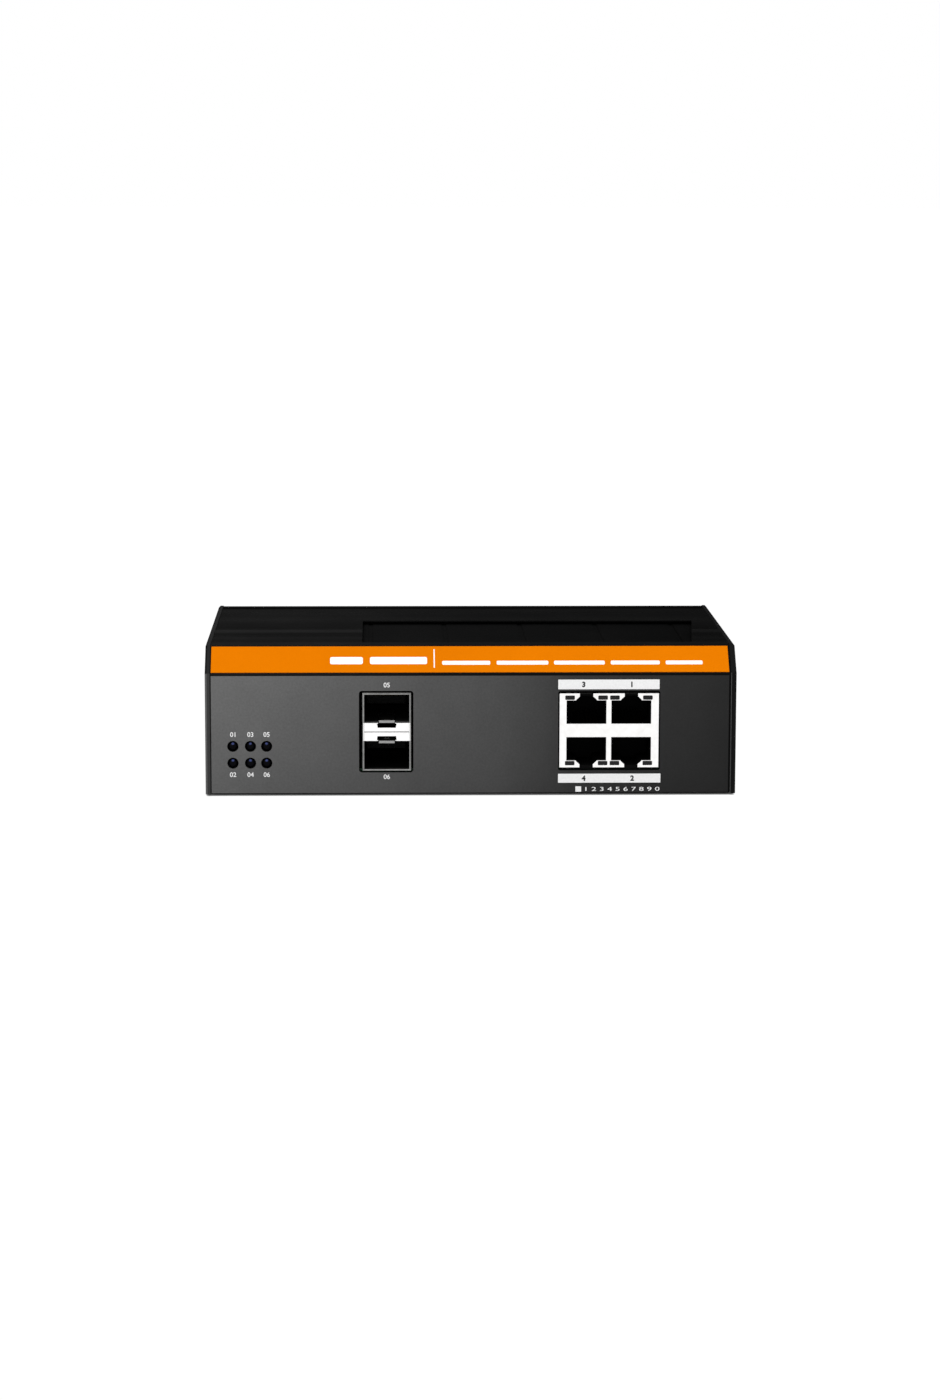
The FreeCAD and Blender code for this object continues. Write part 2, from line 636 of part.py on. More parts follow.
def terminal_pins():
    return Part.makeCompound([fuse([
        box(PIN_X - 0.5, 80.6, *around(y, 0.5), *around(PIN_Z, 0.5)),
        box(*around(PIN_X, 0.5), *around(y, 0.5), 4.6, PIN_Z),
    ]) for y in POLE_Y])


def terminal_plug():
    """Nose inside the header, clamp block outside the end plate."""
    plug = fuse([
        box(74.3, 83.0, TERM_Y0 + 1.25, TERM_Y1 - 1.25, HEADER_Z0 + 1.25, HEADER_Z1 - 1.25),
        box(82.9, PLUG_X1, TERM_Y0 + 0.35, TERM_Y1 - 0.35, HEADER_Z0 + 0.35, PLUG_TOP),
    ])
    plug = plug.makeChamfer(0.5, [e for e in plug.Edges if abs(e.BoundBox.ZMin - PLUG_TOP) < 1e-3
                                  and abs(e.BoundBox.ZMax - PLUG_TOP) < 1e-3])
    tools = []
    for y in POLE_Y:
        tools += [
            box(74.0, 84.0, *around(y, 1.35), 12.5, 14.9),                  # contact channel
            box(83.9, 87.9, *around(y, 2.1), 10.4, 19.3),                   # clamp chamber
            cylinder(87.3, y, WIRE_Z, 1.15, 3, ALONG_X),                    # wire entry
            cone(PLUG_X1 - 0.6, y, WIRE_Z, 1.15, 1.75, 0.62, ALONG_X),
            cylinder(CLAMP_X, y, 19.0, 1.1, 1.0),                           # shank hole
            cylinder(CLAMP_X, y, 19.7, 1.75, 3),                            # head well
        ]
    # shallow dividing grooves between the poles, on the right and top faces
    for y0, y1 in zip(POLE_Y, POLE_Y[1:]):
        groove_y = around((y0 + y1) / 2, 0.2)
        tools.append(box(PLUG_X1 - 0.3, PLUG_X1 + 1, *groove_y, 8, 23))
        tools.append(box(82.3, PLUG_X1 + 1, *groove_y, PLUG_TOP - 0.3, 23))
    return cut(plug, tools)


def plug_contacts():
    return Part.makeCompound([box(76.4, 87.6, *around(y, 1.2), 14.0, 14.7) for y in POLE_Y])


def clamp_screw(y):
    head = cylinder(CLAMP_X, y, 19.75, 1.65, 2.0)
    head = head.makeChamfer(0.2, [e for e in head.Edges if e.Closed and e.CenterOfMass.z > 21.7])
    screw = fuse([head, cylinder(CLAMP_X, y, 14.85, 1.0, 5.0)])
    return screw.cut(box(*around(CLAMP_X, 2), *around(y, 0.3), 20.9, 23))


def clamp_cage(y):
    return cut(box(*around(CLAMP_X, 1.8), *around(y, 1.9), 11.0, 16.0), [
        box(*around(CLAMP_X, 3), *around(y, 1.35), 11.9, 14.85),
        cylinder(CLAMP_X, y, 14.0, 1.06, 4),
    ])


# ------------------------------------------------- reset button and earth screw
def reset_switch():
    body = box(-78.2, -74.6, *around(RESET_Y, 3), BOARD_TOP + 0.02, RESET_Z + 3.0)
    return body.cut(cylinder(-79, RESET_Y, RESET_Z, 1.8, 2.2, ALONG_X))


def reset_plunger():
    rod = cylinder(-80.85, RESET_Y, RESET_Z, 1.7, 3.5, ALONG_X)
    tip = [e for e in rod.Edges if e.Closed and e.CenterOfMass.x < -80.8]
    return rod.makeChamfer(0.25, tip)


def earth_nut():
    nut = fuse([
        cylinder(-BODY_X + 0.02, EARTH_Y, EARTH_Z, 3.4, 2.4, ALONG_X),
        cylinder(-HALF_W + 0.3, EARTH_Y, EARTH_Z, 2.05, 2.0, ALONG_X),
    ])
    return nut.cut(cylinder(-HALF_W - 1, EARTH_Y, EARTH_Z, 1.55, 8, ALONG_X))


def earth_washer():
    """Washer with twelve round notches in its rim."""
    x = -HALF_W - 1
    tools = [cylinder(x, EARTH_Y, EARTH_Z, 1.65, 2, ALONG_X)]
    for i in range(12):
        angle = math.radians(30 * i + 15)
        y, z = EARTH_Y + 3.05 * math.cos(angle), EARTH_Z + 3.05 * math.sin(angle)
        tools.append(cylinder(x, y, z, 0.4, 2, ALONG_X))
    return cut(cylinder(-HALF_W - 0.55, EARTH_Y, EARTH_Z, 3.0, 0.5, ALONG_X), tools)


def earth_screw():
    """Pan head screw pointing along +X."""
    seat_x, head_h = -HALF_W - 0.57, 2.0
    top = Vector(seat_x - head_h, EARTH_Y, EARTH_Z)
    head = Part.makeCylinder(2.8, head_h, top, ALONG_X)
    rim = [e for e in head.Edges if e.Closed and (e.CenterOfMass - top).Length < 1e-3]
    head = head.makeFillet(head_h * 0.45, rim)
    screw = fuse([head, cylinder(seat_x, EARTH_Y, EARTH_Z, 1.45, 5.4, ALONG_X)])
    return screw.cut(cross_slot(top, ALONG_X, half_length=1.3, half_width=0.3, depth=1.0))


# ----------------------------------------------------------------- rail bracket
BRACKET_T = 4.5
BRACKET_Z0, BRACKET_Z1 = 1.8, 37.2
BRACKET_MID_Z = (BRACKET_Z0 + BRACKET_Z1) / 2
BRACKET_Y0 = REAR_OUT + 0.05
BRACKET_Y1 = BRACKET_Y0 + BRACKET_T
RAIL_T = 1.0                 # thickness of the rail's brim
LIP_Y0 = BRACKET_Y1 + RAIL_T + 0.2    # the hooks' lips, behind the brim
LIP_Y1 = LIP_Y0 + 2.0
LATCH_Y0, LATCH_Y1 = BRACKET_Y0 + 0.15, BRACKET_Y1 - 0.25


def mid_z(half):
    return around(BRACKET_MID_Z, half)


def rail_bracket():
    through_y = (BRACKET_Y0 - 1, BRACKET_Y1 + 1)
    bracket = rounded_box(-31, 36, BRACKET_Z0, BRACKET_Z1, 2.0, BRACKET_Y0, BRACKET_Y1)
    hook = prism_z([
        (-23.0, BRACKET_Y1 - 0.5), (-23.0, LIP_Y1 - 1.4), (-21.2, LIP_Y1), (-16.6, LIP_Y1),
        (-15.7, LIP_Y1 - 0.7), (-15.7, LIP_Y0), (-17.7, LIP_Y0), (-17.7, BRACKET_Y1 - 0.5),
    ], BRACKET_Z0 + 2, BRACKET_Z1 - 2)
    bracket = fuse([bracket, hook])
    tools = [
        box(8.0, 40, *through_y, *mid_z(8.2)),                              # latch channel
        box(8.0, 40, BRACKET_Y0 - 1, BRACKET_Y0 + 2.2, *mid_z(10.0)),       # wing grooves
        box(-12.5, 3.5, *through_y, *mid_z(8)),                             # lightening window
    ]
    for x, z in BRACKET_SCREWS:
        tools.append(cylinder(x, BRACKET_Y0 - 1, z, 1.65, BRACKET_T + 2, ALONG_Y))
        tools.append(cone(x, BRACKET_Y1 - 1.5, z, 1.65, 3.2, 1.55, ALONG_Y))
    bracket = cut(bracket, tools)
    # bridge over the latch channel, with the post the springs bear on
    bridge = fuse([
        box(32.6, 35.0, BRACKET_Y1 - 0.15, BRACKET_Y1 + 1.2, *mid_z(11.5)),
        box(32.6, 34.2, BRACKET_Y0 + 0.3, BRACKET_Y1, *mid_z(5.5)),
    ])
    return fuse([bracket, bridge])


def rail_latch():
    """Sliding latch: body, side wings and hook, with a spring window and a slot."""
    hook = prism_z([
        (17.65, BRACKET_Y1 - 1.0), (17.65, LIP_Y0), (15.75, LIP_Y0), (15.75, LIP_Y1 - 0.7),
        (16.6, LIP_Y1), (17.6, LIP_Y1), (22.8, BRACKET_Y1 + 0.8), (22.8, BRACKET_Y1 - 1.0),
    ], *mid_z(8.0))
    latch = fuse([
        box(9.0, 44.0, LATCH_Y0, LATCH_Y1, *mid_z(8.0)),
        box(9.0, 31.0, LATCH_Y0, BRACKET_Y0 + 2.05, *mid_z(9.8)),
        hook,
    ])
    latch = cut(latch, [box(*x_span, BRACKET_Y0 - 1, BRACKET_Y1 + 2, *mid_z(half))
                        for x_span, half in (((24.0, 35.4), 6.2), ((38.6, 41.4), 5))])
    return latch.makeFillet(1.5, [e for e in edges_along(latch, "y") if e.BoundBox.XMin > 43.9])


def rail_springs():
    """Two compression springs between the latch window and the bracket's post."""
    x0, x1 = 24.15, 32.45
    coil_r, wire_r, turns = 1.5, 0.26, 7.0
    rise = x1 - x0 - 2 * wire_r
    helix = Part.makeHelix(rise / turns, rise, coil_r)
    section = Part.Wire(Part.makeCircle(wire_r, Vector(coil_r, 0, 0), ALONG_Y))
    coil = Part.Wire(helix.Edges).makePipeShell([section], True, True)
    # the sweep may come back as a shell, or turned inside out
    if coil.ShapeType != "Solid":
        coil = Part.Solid(coil.Shells[0])
    if coil.Volume < 0:
        coil.reverse()
    coil.Placement = FreeCAD.Placement(
        Vector(x0 + wire_r, (LATCH_Y0 + LATCH_Y1) / 2, BRACKET_MID_Z),
        FreeCAD.Rotation(UP, ALONG_X))
    springs = [coil, coil.copy()]
    for spring, z in zip(springs, (-2.6, 2.6)):
        spring.translate(Vector(0, 0, z))
    return Part.makeCompound(springs)


def rail_bracket_screws():
    return Part.makeCompound([
        countersunk_screw(Vector(x, BRACKET_Y1 - 0.05, z), ALONG_Y * -1, 7.4, 3.0, 1.5)
        for x, z in BRACKET_SCREWS])


# ------------------------------------------------------------------ electronics
CHIP_X, CHIP_Y = 6, -12      # centre of the switch chip and the heat path above it
TOP_IN = TOP_OUT - TOP_WALL
# x0, x1, y0, y1, height
CHIPS = (
    (24, 31, -18, -11, 1.0), (-18, -10, 6, 14, 1.1), (38, 50, -14, -2, 1.2),
    (-50, -43, -30, -23, 1.0), (30, 38, 10, 18, 1.0), (-72, -66, 2, 10, 1.6),
    (4, 9, 10, 13.2, 0.9),
)
# x, y, radius, height
CAPACITORS = (
    (-60, 28, 5.0, 20), (-47, 28, 5.0, 20), (-60, 40.5, 4.0, 12), (-34, 34, 6.3, 22),
    (58, 30, 4.0, 12),
)
# x, y, width
INDUCTORS = ((-14, 34, 12), (-52, 8, 12), (20, 36, 14))


def over_chip(half, z0, z1):
    return box(*around(CHIP_X, half), *around(CHIP_Y, half), z0, z1)


def switch_chip():
    return over_chip(10, PART_Z + 0.1, PART_Z + 1.5)


def thermal_pad():
    return over_chip(9, PART_Z + 1.52, PART_Z + 2.5)


def heat_block():
    return fuse([over_chip(14, TOP_IN - 6.0, TOP_IN - 0.05),
                 over_chip(9, PART_Z + 2.52, TOP_IN - 5.9)])


def board_chips():
    return Part.makeCompound([
        box(x0, x1, y0, y1, PART_Z, PART_Z + height) for x0, x1, y0, y1, height in CHIPS])


def capacitors():
    cans = [cylinder(x, y, PART_Z, radius, height) for x, y, radius, height in CAPACITORS]
    return Part.makeCompound([
        can.makeFillet(0.6, [e for e in can.Edges if e.Closed]) for can in cans])


def inductors():
    blocks = [box(*around(x, w / 2), *around(y, w / 2), PART_Z, PART_Z + w * 0.55)
              for x, y, w in INDUCTORS]
    return Part.makeCompound([b.makeFillet(1.0, edges_along(b, "z")) for b in blocks])


def transformer():
    return fuse([
        box(36, 52, 32, 46, PART_Z, PART_Z + 3),
        box(38.5, 49.5, 30.5, 47.5, PART_Z + 3, PART_Z + 10),
        box(36, 52, 32, 46, PART_Z + 9.5, PART_Z + 12.5),
    ])


# ----------------------------------------------------------------------- output
os.makedirs("parts", exist_ok=True)

# each of these pieces is named after its function
for piece in (
    main_shell, bottom_cover, end_plate_left, end_plate_right, front_film, band_film,
    nameplate, main_pcb, board_standoffs, board_screws, rj45_shield, rj45_insulator,
    rj45_light_pipes, sfp_cage, sfp_divider, sfp_collar, sfp_connectors, sfp_contacts,
    led_holder, status_leds, terminal_header, terminal_pins, terminal_plug, plug_contacts,
    reset_switch, reset_plunger, earth_nut, earth_washer, earth_screw, rail_bracket,
    rail_latch, rail_springs, rail_bracket_screws, switch_chip, thermal_pad, heat_block,
    board_chips, capacitors, inductors, transformer,
):
    save(piece.__name__, piece())

save("end_screws_left", end_screws(-1))
save("end_screws_right", end_screws(1))
save("sfp_latch_upper", sfp_latch(UPPER_BAY_Z, 1))
save("sfp_latch_lower", sfp_latch(LOWER_BAY_TOP, -1))
# ports are numbered from the right, the upper one first
ports = [(x, side) for x in reversed(PORT_X) for side in (1, -1)]
for number, (x, side) in enumerate(ports, 1):
    save(f"rj45_springs_{number}", rj45_springs(x, side))
for number, y in enumerate(POLE_Y, 1):
    save(f"clamp_screw_{number}", clamp_screw(y))
    save(f"clamp_cage_{number}", clamp_cage(y))
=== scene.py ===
# A rail-mounted network unit: a black case with printed film on its front and on the sloping
# band above, a module cage, jacks, status lamps and a sprung rail latch at the rear. +X is
# right, -Y is the front and +Z is up.
import json
import math

import bmesh
import bpy
from mathutils import Matrix, Vector


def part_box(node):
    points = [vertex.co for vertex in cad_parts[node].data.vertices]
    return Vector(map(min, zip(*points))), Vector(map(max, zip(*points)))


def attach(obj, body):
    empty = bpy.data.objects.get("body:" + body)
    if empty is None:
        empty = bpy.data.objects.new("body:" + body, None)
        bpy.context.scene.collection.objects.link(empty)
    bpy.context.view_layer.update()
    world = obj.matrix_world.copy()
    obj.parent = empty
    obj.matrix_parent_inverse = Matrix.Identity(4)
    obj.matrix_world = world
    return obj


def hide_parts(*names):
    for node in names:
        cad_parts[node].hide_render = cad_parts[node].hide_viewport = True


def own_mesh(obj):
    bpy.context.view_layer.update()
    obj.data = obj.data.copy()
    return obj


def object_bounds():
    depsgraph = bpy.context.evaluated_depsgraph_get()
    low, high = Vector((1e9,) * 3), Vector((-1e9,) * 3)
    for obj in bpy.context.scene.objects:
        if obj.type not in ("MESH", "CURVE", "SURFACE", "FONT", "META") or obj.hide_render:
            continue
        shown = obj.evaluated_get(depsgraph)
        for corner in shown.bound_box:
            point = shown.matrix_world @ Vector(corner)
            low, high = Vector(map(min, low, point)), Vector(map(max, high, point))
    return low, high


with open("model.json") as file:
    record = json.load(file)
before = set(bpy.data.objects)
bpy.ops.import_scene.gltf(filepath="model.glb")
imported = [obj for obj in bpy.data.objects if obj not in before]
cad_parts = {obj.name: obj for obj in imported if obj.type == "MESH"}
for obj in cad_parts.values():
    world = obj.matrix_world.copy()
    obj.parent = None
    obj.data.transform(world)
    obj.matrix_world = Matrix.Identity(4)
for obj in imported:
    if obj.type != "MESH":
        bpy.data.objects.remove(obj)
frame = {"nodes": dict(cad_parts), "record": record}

MM = 0.001
X, Y, Z = 0, 1, 2
scene = bpy.context.scene
collection = scene.collection
cad_lo, cad_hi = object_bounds()

# Noise mostly stays inside this span, so it is stretched from here to the range wanted.
NOISE_SPAN = (0.3, 0.7)


# ------------------------------------------------------------------ shader nodes
def linear(level):
    """Linear value of an sRGB level from 0 to 255."""
    level = level / 255.0
    return level / 12.92 if level <= 0.04045 else ((level + 0.055) / 1.055) ** 2.4


def srgb(*levels):
    return tuple(linear(level) for level in levels)


def colour(value):
    """RGBA from a grey value or an RGB tuple; a socket passes through."""
    if isinstance(value, (int, float)):
        return (value, value, value, 1.0)
    if isinstance(value, tuple):
        return value + (1.0,)
    return value


class Shader:
    """Short calls for building one node tree."""

    def __init__(self, tree):
        self.tree = tree
        tree.nodes.clear()

    def node(self, kind, **settings):
        node = self.tree.nodes.new(kind)
        for key, value in settings.items():
            setattr(node, key, value)
        return node

    def link(self, output, socket):
        self.tree.links.new(output, socket)

    def feed(self, socket, value):
        """Link a socket to another, or set its plain value."""
        if isinstance(value, bpy.types.NodeSocket):
            self.link(value, socket)
        else:
            socket.default_value = value

    def split(self, kind, source):
        node = self.node(kind)
        self.link(source, node.inputs[0])
        return node.outputs

    def remap(self, value, over=NOISE_SPAN, to=(0.0, 1.0), smooth=False):
        """Map the range `over` onto the range `to`, held at both ends."""
        kind = "SMOOTHSTEP" if smooth else "LINEAR"
        node = self.node("ShaderNodeMapRange", interpolation_type=kind)
        self.link(value, node.inputs["Value"])
        names = ("From Min", "From Max", "To Min", "To Max")
        for name, number in zip(names, over + to):
            node.inputs[name].default_value = number
        return node.outputs["Result"]

    def ramp(self, value, stops):
        """Colour ramp; stops are (position, colour)."""
        node = self.node("ShaderNodeValToRGB")
        elements = node.color_ramp.elements
        while len(elements) < len(stops):
            elements.new(0.5)
        for element, (position, tint) in zip(elements, stops):
            element.position = position
            element.color = colour(tint)
        self.link(value, node.inputs["Fac"])
        return node.outputs["Color"]

    def tone(self, value, dark, light, span=NOISE_SPAN):
        return self.ramp(value, [(span[0], dark), (span[1], light)])

    def profile(self, value, ends, stops, unit=MM):
        """Ramp whose stops are placed in the same unit as its two ends."""
        low, high = ends
        share = self.remap(value, over=(low * unit, high * unit))
        return self.ramp(share, [((at - low) / (high - low), tint) for at, tint in stops])

    def mix(self, factor, first, second, blend="MIX"):
        node = self.node("ShaderNodeMix", data_type="RGBA", blend_type=blend)
        for index, value in ((0, factor), (6, colour(first)), (7, colour(second))):
            self.feed(node.inputs[index], value)
        return node.outputs[2]

    def math(self, operation, *values):
        node = self.node("ShaderNodeMath", operation=operation)
        for socket, value in zip(node.inputs, values):
            self.feed(socket, value)
        return node.outputs[0]

    def times(self, first, second):
        return self.math("MULTIPLY", first, second)

    def blend(self, first, second, share):
        """Weighted sum: `share` of the first, the rest of the second."""
        return self.math("ADD", self.times(first, share), self.times(second, 1 - share))

    def mix_shader(self, factor, first, second):
        node = self.node("ShaderNodeMixShader")
        for socket, value in zip(node.inputs, (factor, first, second)):
            self.link(value, socket)
        return node.outputs[0]


MATERIALS = {}


class Material(Shader):
    """A material built round one Principled shader, textured in object space (metres)."""

    def __init__(self, name, specular=0.5, metallic=0.0, roughness=0.5):
        material = bpy.data.materials.new(name)
        material.use_nodes = True
        super().__init__(material.node_tree)
        MATERIALS[name] = material
        self.output = self.node("ShaderNodeOutputMaterial")
        self.principled = self.node("ShaderNodeBsdfPrincipled")
        self.link(self.principled.outputs[0], self.output.inputs["Surface"])
        for socket, value in (("Base Color", colour(0.5)), ("Roughness", roughness),
                              ("Metallic", metallic), ("Specular IOR Level", specular)):
            self.principled.inputs[socket].default_value = value
        self.coordinates = self.node("ShaderNodeTexCoord").outputs["Object"]
        self.axes = None

    def along(self, axis):
        """Object coordinate along one axis; all calls share one node."""
        if self.axes is None:
            self.axes = self.split("ShaderNodeSeparateXYZ", self.coordinates)
        return self.axes[axis]

    def geometry(self, output):
        return self.node("ShaderNodeNewGeometry").outputs[output]

    def true_normal(self):
        return self.split("ShaderNodeSeparateXYZ", self.geometry("True Normal"))

    def scaled_coordinates(self, scale):
        """Object coordinates times one scale, or one scale per axis, per metre."""
        if isinstance(scale, (int, float)):
            scale = (scale, scale, scale)
        node = self.node("ShaderNodeMapping")
        node.inputs["Scale"].default_value = scale
        self.link(self.coordinates, node.inputs["Vector"])
        return node.outputs[0]

    def noise(self, scale, detail=3.0, distortion=0.0):
        vector = self.scaled_coordinates(scale)
        node = self.node("ShaderNodeTexNoise")
        node.inputs["Scale"].default_value = 1.0
        node.inputs["Detail"].default_value = detail
        node.inputs["Roughness"].default_value = 0.55
        node.inputs["Distortion"].default_value = distortion
        self.link(vector, node.inputs["Vector"])
        return node.outputs["Fac"]

    def voronoi(self, scale, feature="F1", output="Distance"):
        vector = self.scaled_coordinates(scale)
        node = self.node("ShaderNodeTexVoronoi", feature=feature)
        node.inputs["Scale"].default_value = 1.0
        self.link(vector, node.inputs["Vector"])
        return node.outputs[output]

    def gain_profile(self, value, ends, stops):
        """Profile of gains up to 2, halved to fit the ramp and doubled after it."""
        halved = self.profile(value, ends, [(at, gain / 2) for at, gain in stops])
        return self.times(self.split("ShaderNodeSeparateColor", halved)[0], 2.0)

    def scaled(self, tint, factor):
        """Colour times a single factor."""
        node = self.node("ShaderNodeCombineXYZ")
        for socket in node.inputs:
            self.link(factor, socket)
        return self.mix(1.0, tint, node.outputs[0], "MULTIPLY")

    def dot(self, first, second):
        node = self.node("ShaderNodeVectorMath", operation="DOT_PRODUCT")
        self.feed(node.inputs[0], first)
        self.feed(node.inputs[1], second)
        return node.outputs["Value"]

    def soft_edges(self, radius):
        """Normal rounded over the edges."""
        node = self.node("ShaderNodeBevel", samples=4)
        node.inputs["Radius"].default_value = radius * MM
        return node.outputs[0]

    def worn_edges(self, radius):
        """Mask that is 1 on sharp edges and 0 on flats, and the rounded normal."""
        rounded = self.soft_edges(radius)
        likeness = self.dot(rounded, self.geometry("Normal"))
        return self.remap(likeness, over=(0.995, 0.85)), rounded

    def drive(self, name, value):
        self.link(value, self.principled.inputs[name])

    def colour(self, value):
        self.drive("Base Color", value)

    def roughness(self, noise, low, high):
        self.drive("Roughness", self.remap(noise, to=(low, high)))

    def relief(self, height, depth, strength, under=None):
        node = self.node("ShaderNodeBump")
        node.inputs["Strength"].default_value = strength
        node.inputs["Distance"].default_value = depth * MM
        self.link(height, node.inputs["Height"])
        if under is not None:
            self.link(under, node.inputs["Normal"])
        self.drive("Normal", node.outputs["Normal"])


def plain(name, grain, tones, rough, relief=None, detail=3, edge=None, wear=None, **surface):
    """One noise drives everything.

    grain: noise scale; tones: dark and light; rough: low and high; relief: depth and strength;
    edge: rounding radius; wear: share and colour of the wear on edges.
    """
    m = Material(name, **surface)
    noise = m.noise(grain, detail=detail)
    tint = m.tone(noise, *tones)
    rounded = None
    if wear:
        edges, rounded = m.worn_edges(edge)
        tint = m.mix(m.times(edges, wear[0]), tint, wear[1])
    elif edge:
        rounded = m.soft_edges(edge)
    m.colour(tint)
    m.roughness(noise, *rough)
    if relief:
        m.relief(noise, *relief, under=rounded)


# --------------------------------------------------------------------- case
# painted light falloff along X, lighter on the left where the light falls: (x, gain)
TOP_PAINTED_FALLOFF_X = [(-83, 1.62), (-41.5, 1.45), (0, 1.02), (83, 0.76)]
# painted highlights along the lit ridges and painted shade along the grooves of the top face:
# (y, gain)
TOP_PAINTED_BANDS_Y = [
    (-48, 1.3), (-44, 1.35), (-42, 1.1), (-39.5, 0.80), (-37, 0.88), (-34.5, 1.06),
    (-32, 1.18), (-30, 1.0), (-27.5, 0.66), (-25, 0.70), (-23.2, 0.90), (-21.2, 1.62),
    (-14.8, 1.66), (-12.8, 1.05), (-10.8, 0.88), (-8.4, 0.74), (-3.6, 0.88), (1.4, 0.88),
    (6.3, 1.05), (11.3, 1.18), (16.3, 1.15), (21.3, 1.0), (29, 1.08), (37, 1.05),
    (39.6, 0.85), (40.8, 0.08), (43.2, 0.08), (44.5, 1.0),
]


def black_anodised():
    """Extrusion: die lines along X, faint wear on edges, painted light falling off along X and
    painted bands of highlight and shade on the top.
    """
    m = Material("black_anodised", specular=0.06)
    lines = m.noise((14, 2600, 2600), detail=4)
    cloud = m.noise(60)
    coat = m.ramp(m.blend(lines, cloud, share=0.55),
                  [(0.30, 0.0046), (0.55, 0.0062), (0.78, 0.0084)])
    # painted light: the top is lighter on the left, where the light falls
    painted_falloff_gain = m.gain_profile(m.along(X), (-83, 83), TOP_PAINTED_FALLOFF_X)
    painted_band_gain = m.gain_profile(m.along(Y), (-50, 50), TOP_PAINTED_BANDS_Y)
    # the painted bands of highlight and shade show only on upward faces above z = 45 mm; there
    # they add to a gain of 1
    faces_up = m.remap(m.true_normal()[Z], over=(0.85, 0.95))
    high_up = m.remap(m.along(Z), over=(0.0450, 0.0455))
    painted_band_gain = m.times(m.times(faces_up, high_up), m.math("SUBTRACT", painted_band_gain, 1.0))
    coat = m.scaled(coat, m.times(painted_falloff_gain, m.math("ADD", 1.0, painted_band_gain)))
    edges, rounded = m.worn_edges(radius=0.35)
    m.colour(m.mix(m.times(edges, 0.35), coat, 0.016))
    # back and underside carry more sheen
    back = m.remap(m.true_normal()[Y], over=(0.3, 0.6))
    underside = m.remap(m.true_normal()[Z], over=(-0.6, -0.9))
    sheen = m.math("MAXIMUM", back, underside)
    m.drive("Specular IOR Level", m.remap(sheen, over=(0.0, 1.0), to=(0.008, 0.22)))
    m.roughness(lines, low=0.44, high=0.58)
    m.relief(lines, depth=0.012, strength=0.5, under=rounded)


def black_plate():
    """Powder coat, with painted highlights on the left plate and its bevelled outer rim and
    painted shade on the right plate's front.
    """
    m = Material("black_plate", specular=0.08)
    grain = m.noise(2400, detail=2)
    cloud = m.noise(45, detail=4)
    coat = m.tone(cloud, 0.0060, 0.0110)
    edges, rounded = m.worn_edges(radius=0.25)
    normal_x, normal_y, normal_z = m.true_normal()

    # painted highlight on the left plate's front face and top, where the light falls
    front = m.remap(normal_y, over=(-0.6, -0.9))
    left = m.remap(m.along(X), over=(-0.01, -0.02))
    left_front_highlight = m.times(m.times(front, left), m.remap(cloud, to=(0.85, 1.0)))
    coat = m.mix(left_front_highlight, coat, 0.040)
    left_top_highlight = m.times(m.remap(normal_z, over=(0.85, 0.95)), left)
    coat = m.mix(left_top_highlight, coat, 0.022)
    # painted highlight on the chamfer that faces both left and front
    rim_highlight = m.times(m.remap(normal_x, over=(-0.5, -0.65)), m.remap(normal_y, over=(-0.5, -0.65)))
    coat = m.mix(m.times(rim_highlight, m.remap(grain, to=(0.8, 1.0))), coat, 0.105)
    # painted shade on the right plate's front face, away from the light
    right = m.remap(m.along(X), over=(0.01, 0.02))
    coat = m.mix(m.times(m.times(front, right), 0.9), coat, 0.0045)
    # the broad outer faces, grained by the powder
    side = m.remap(m.math("ABSOLUTE", normal_x), over=(0.9, 0.97))
    powder = m.tone(m.blend(grain, cloud, share=0.45), 0.0075, 0.0165, span=(0.32, 0.68))
    coat = m.mix(side, coat, powder)

    # edge wear, partly a painted highlight: stronger on the lit left plate than on the right
    wear = m.times(edges, m.remap(m.along(X), over=(-0.01, 0.01), to=(0.3, 0.02)))
    m.colour(m.mix(wear, coat, 0.045))
    m.drive("Specular IOR Level", m.remap(side, over=(0.0, 1.0), to=(0.03, 0.34)))
    m.roughness(grain, low=0.46, high=0.62)
    m.relief(grain, depth=0.02, strength=0.6, under=rounded)


# -------------------------------------------------------------------- films
# the print darkens from left to right: (x, sRGB grey level)
GREY_PRINT = [(-79, 104), (-43, 93), (-16, 83), (0, 79), (10, 75), (22, 65), (31, 53),
              (42, 48), (60, 45), (72, 42), (80, 38)]
GREY_PRINT_GAIN = 0.81


def grey_film():
    m = Material("grey_film", specular=0.06)
    stops = [(x, linear(level) * GREY_PRINT_GAIN) for x, level in GREY_PRINT]
    base = m.profile(m.along(X), (-81, 81), stops)
    height_gain = m.remap(m.along(Z), over=(0.0, 0.038), to=(0.84, 1.10))
    speckle = m.noise(1500, detail=2)
    cloud = m.noise(70, detail=4)
    mottle = m.times(m.remap(speckle, to=(0.93, 1.07)), m.remap(cloud, to=(0.95, 1.05)))
    m.colour(m.scaled(base, m.times(height_gain, mottle)))
    m.roughness(speckle, low=0.44, high=0.58)
    m.relief(speckle, depth=0.006, strength=0.5)


def orange_film():
    m = Material("orange_film", specular=0.006)
    speckle = m.noise(1500, detail=2)
    cloud = m.noise(50)
    m.colour(m.ramp(m.blend(speckle, cloud, share=0.35), [
        (0.25, srgb(216, 114, 0)), (0.5, srgb(220, 117, 0)), (0.75, srgb(224, 120, 1))]))
    m.roughness(speckle, low=0.40, high=0.54)
    m.relief(speckle, depth=0.006, strength=0.5)


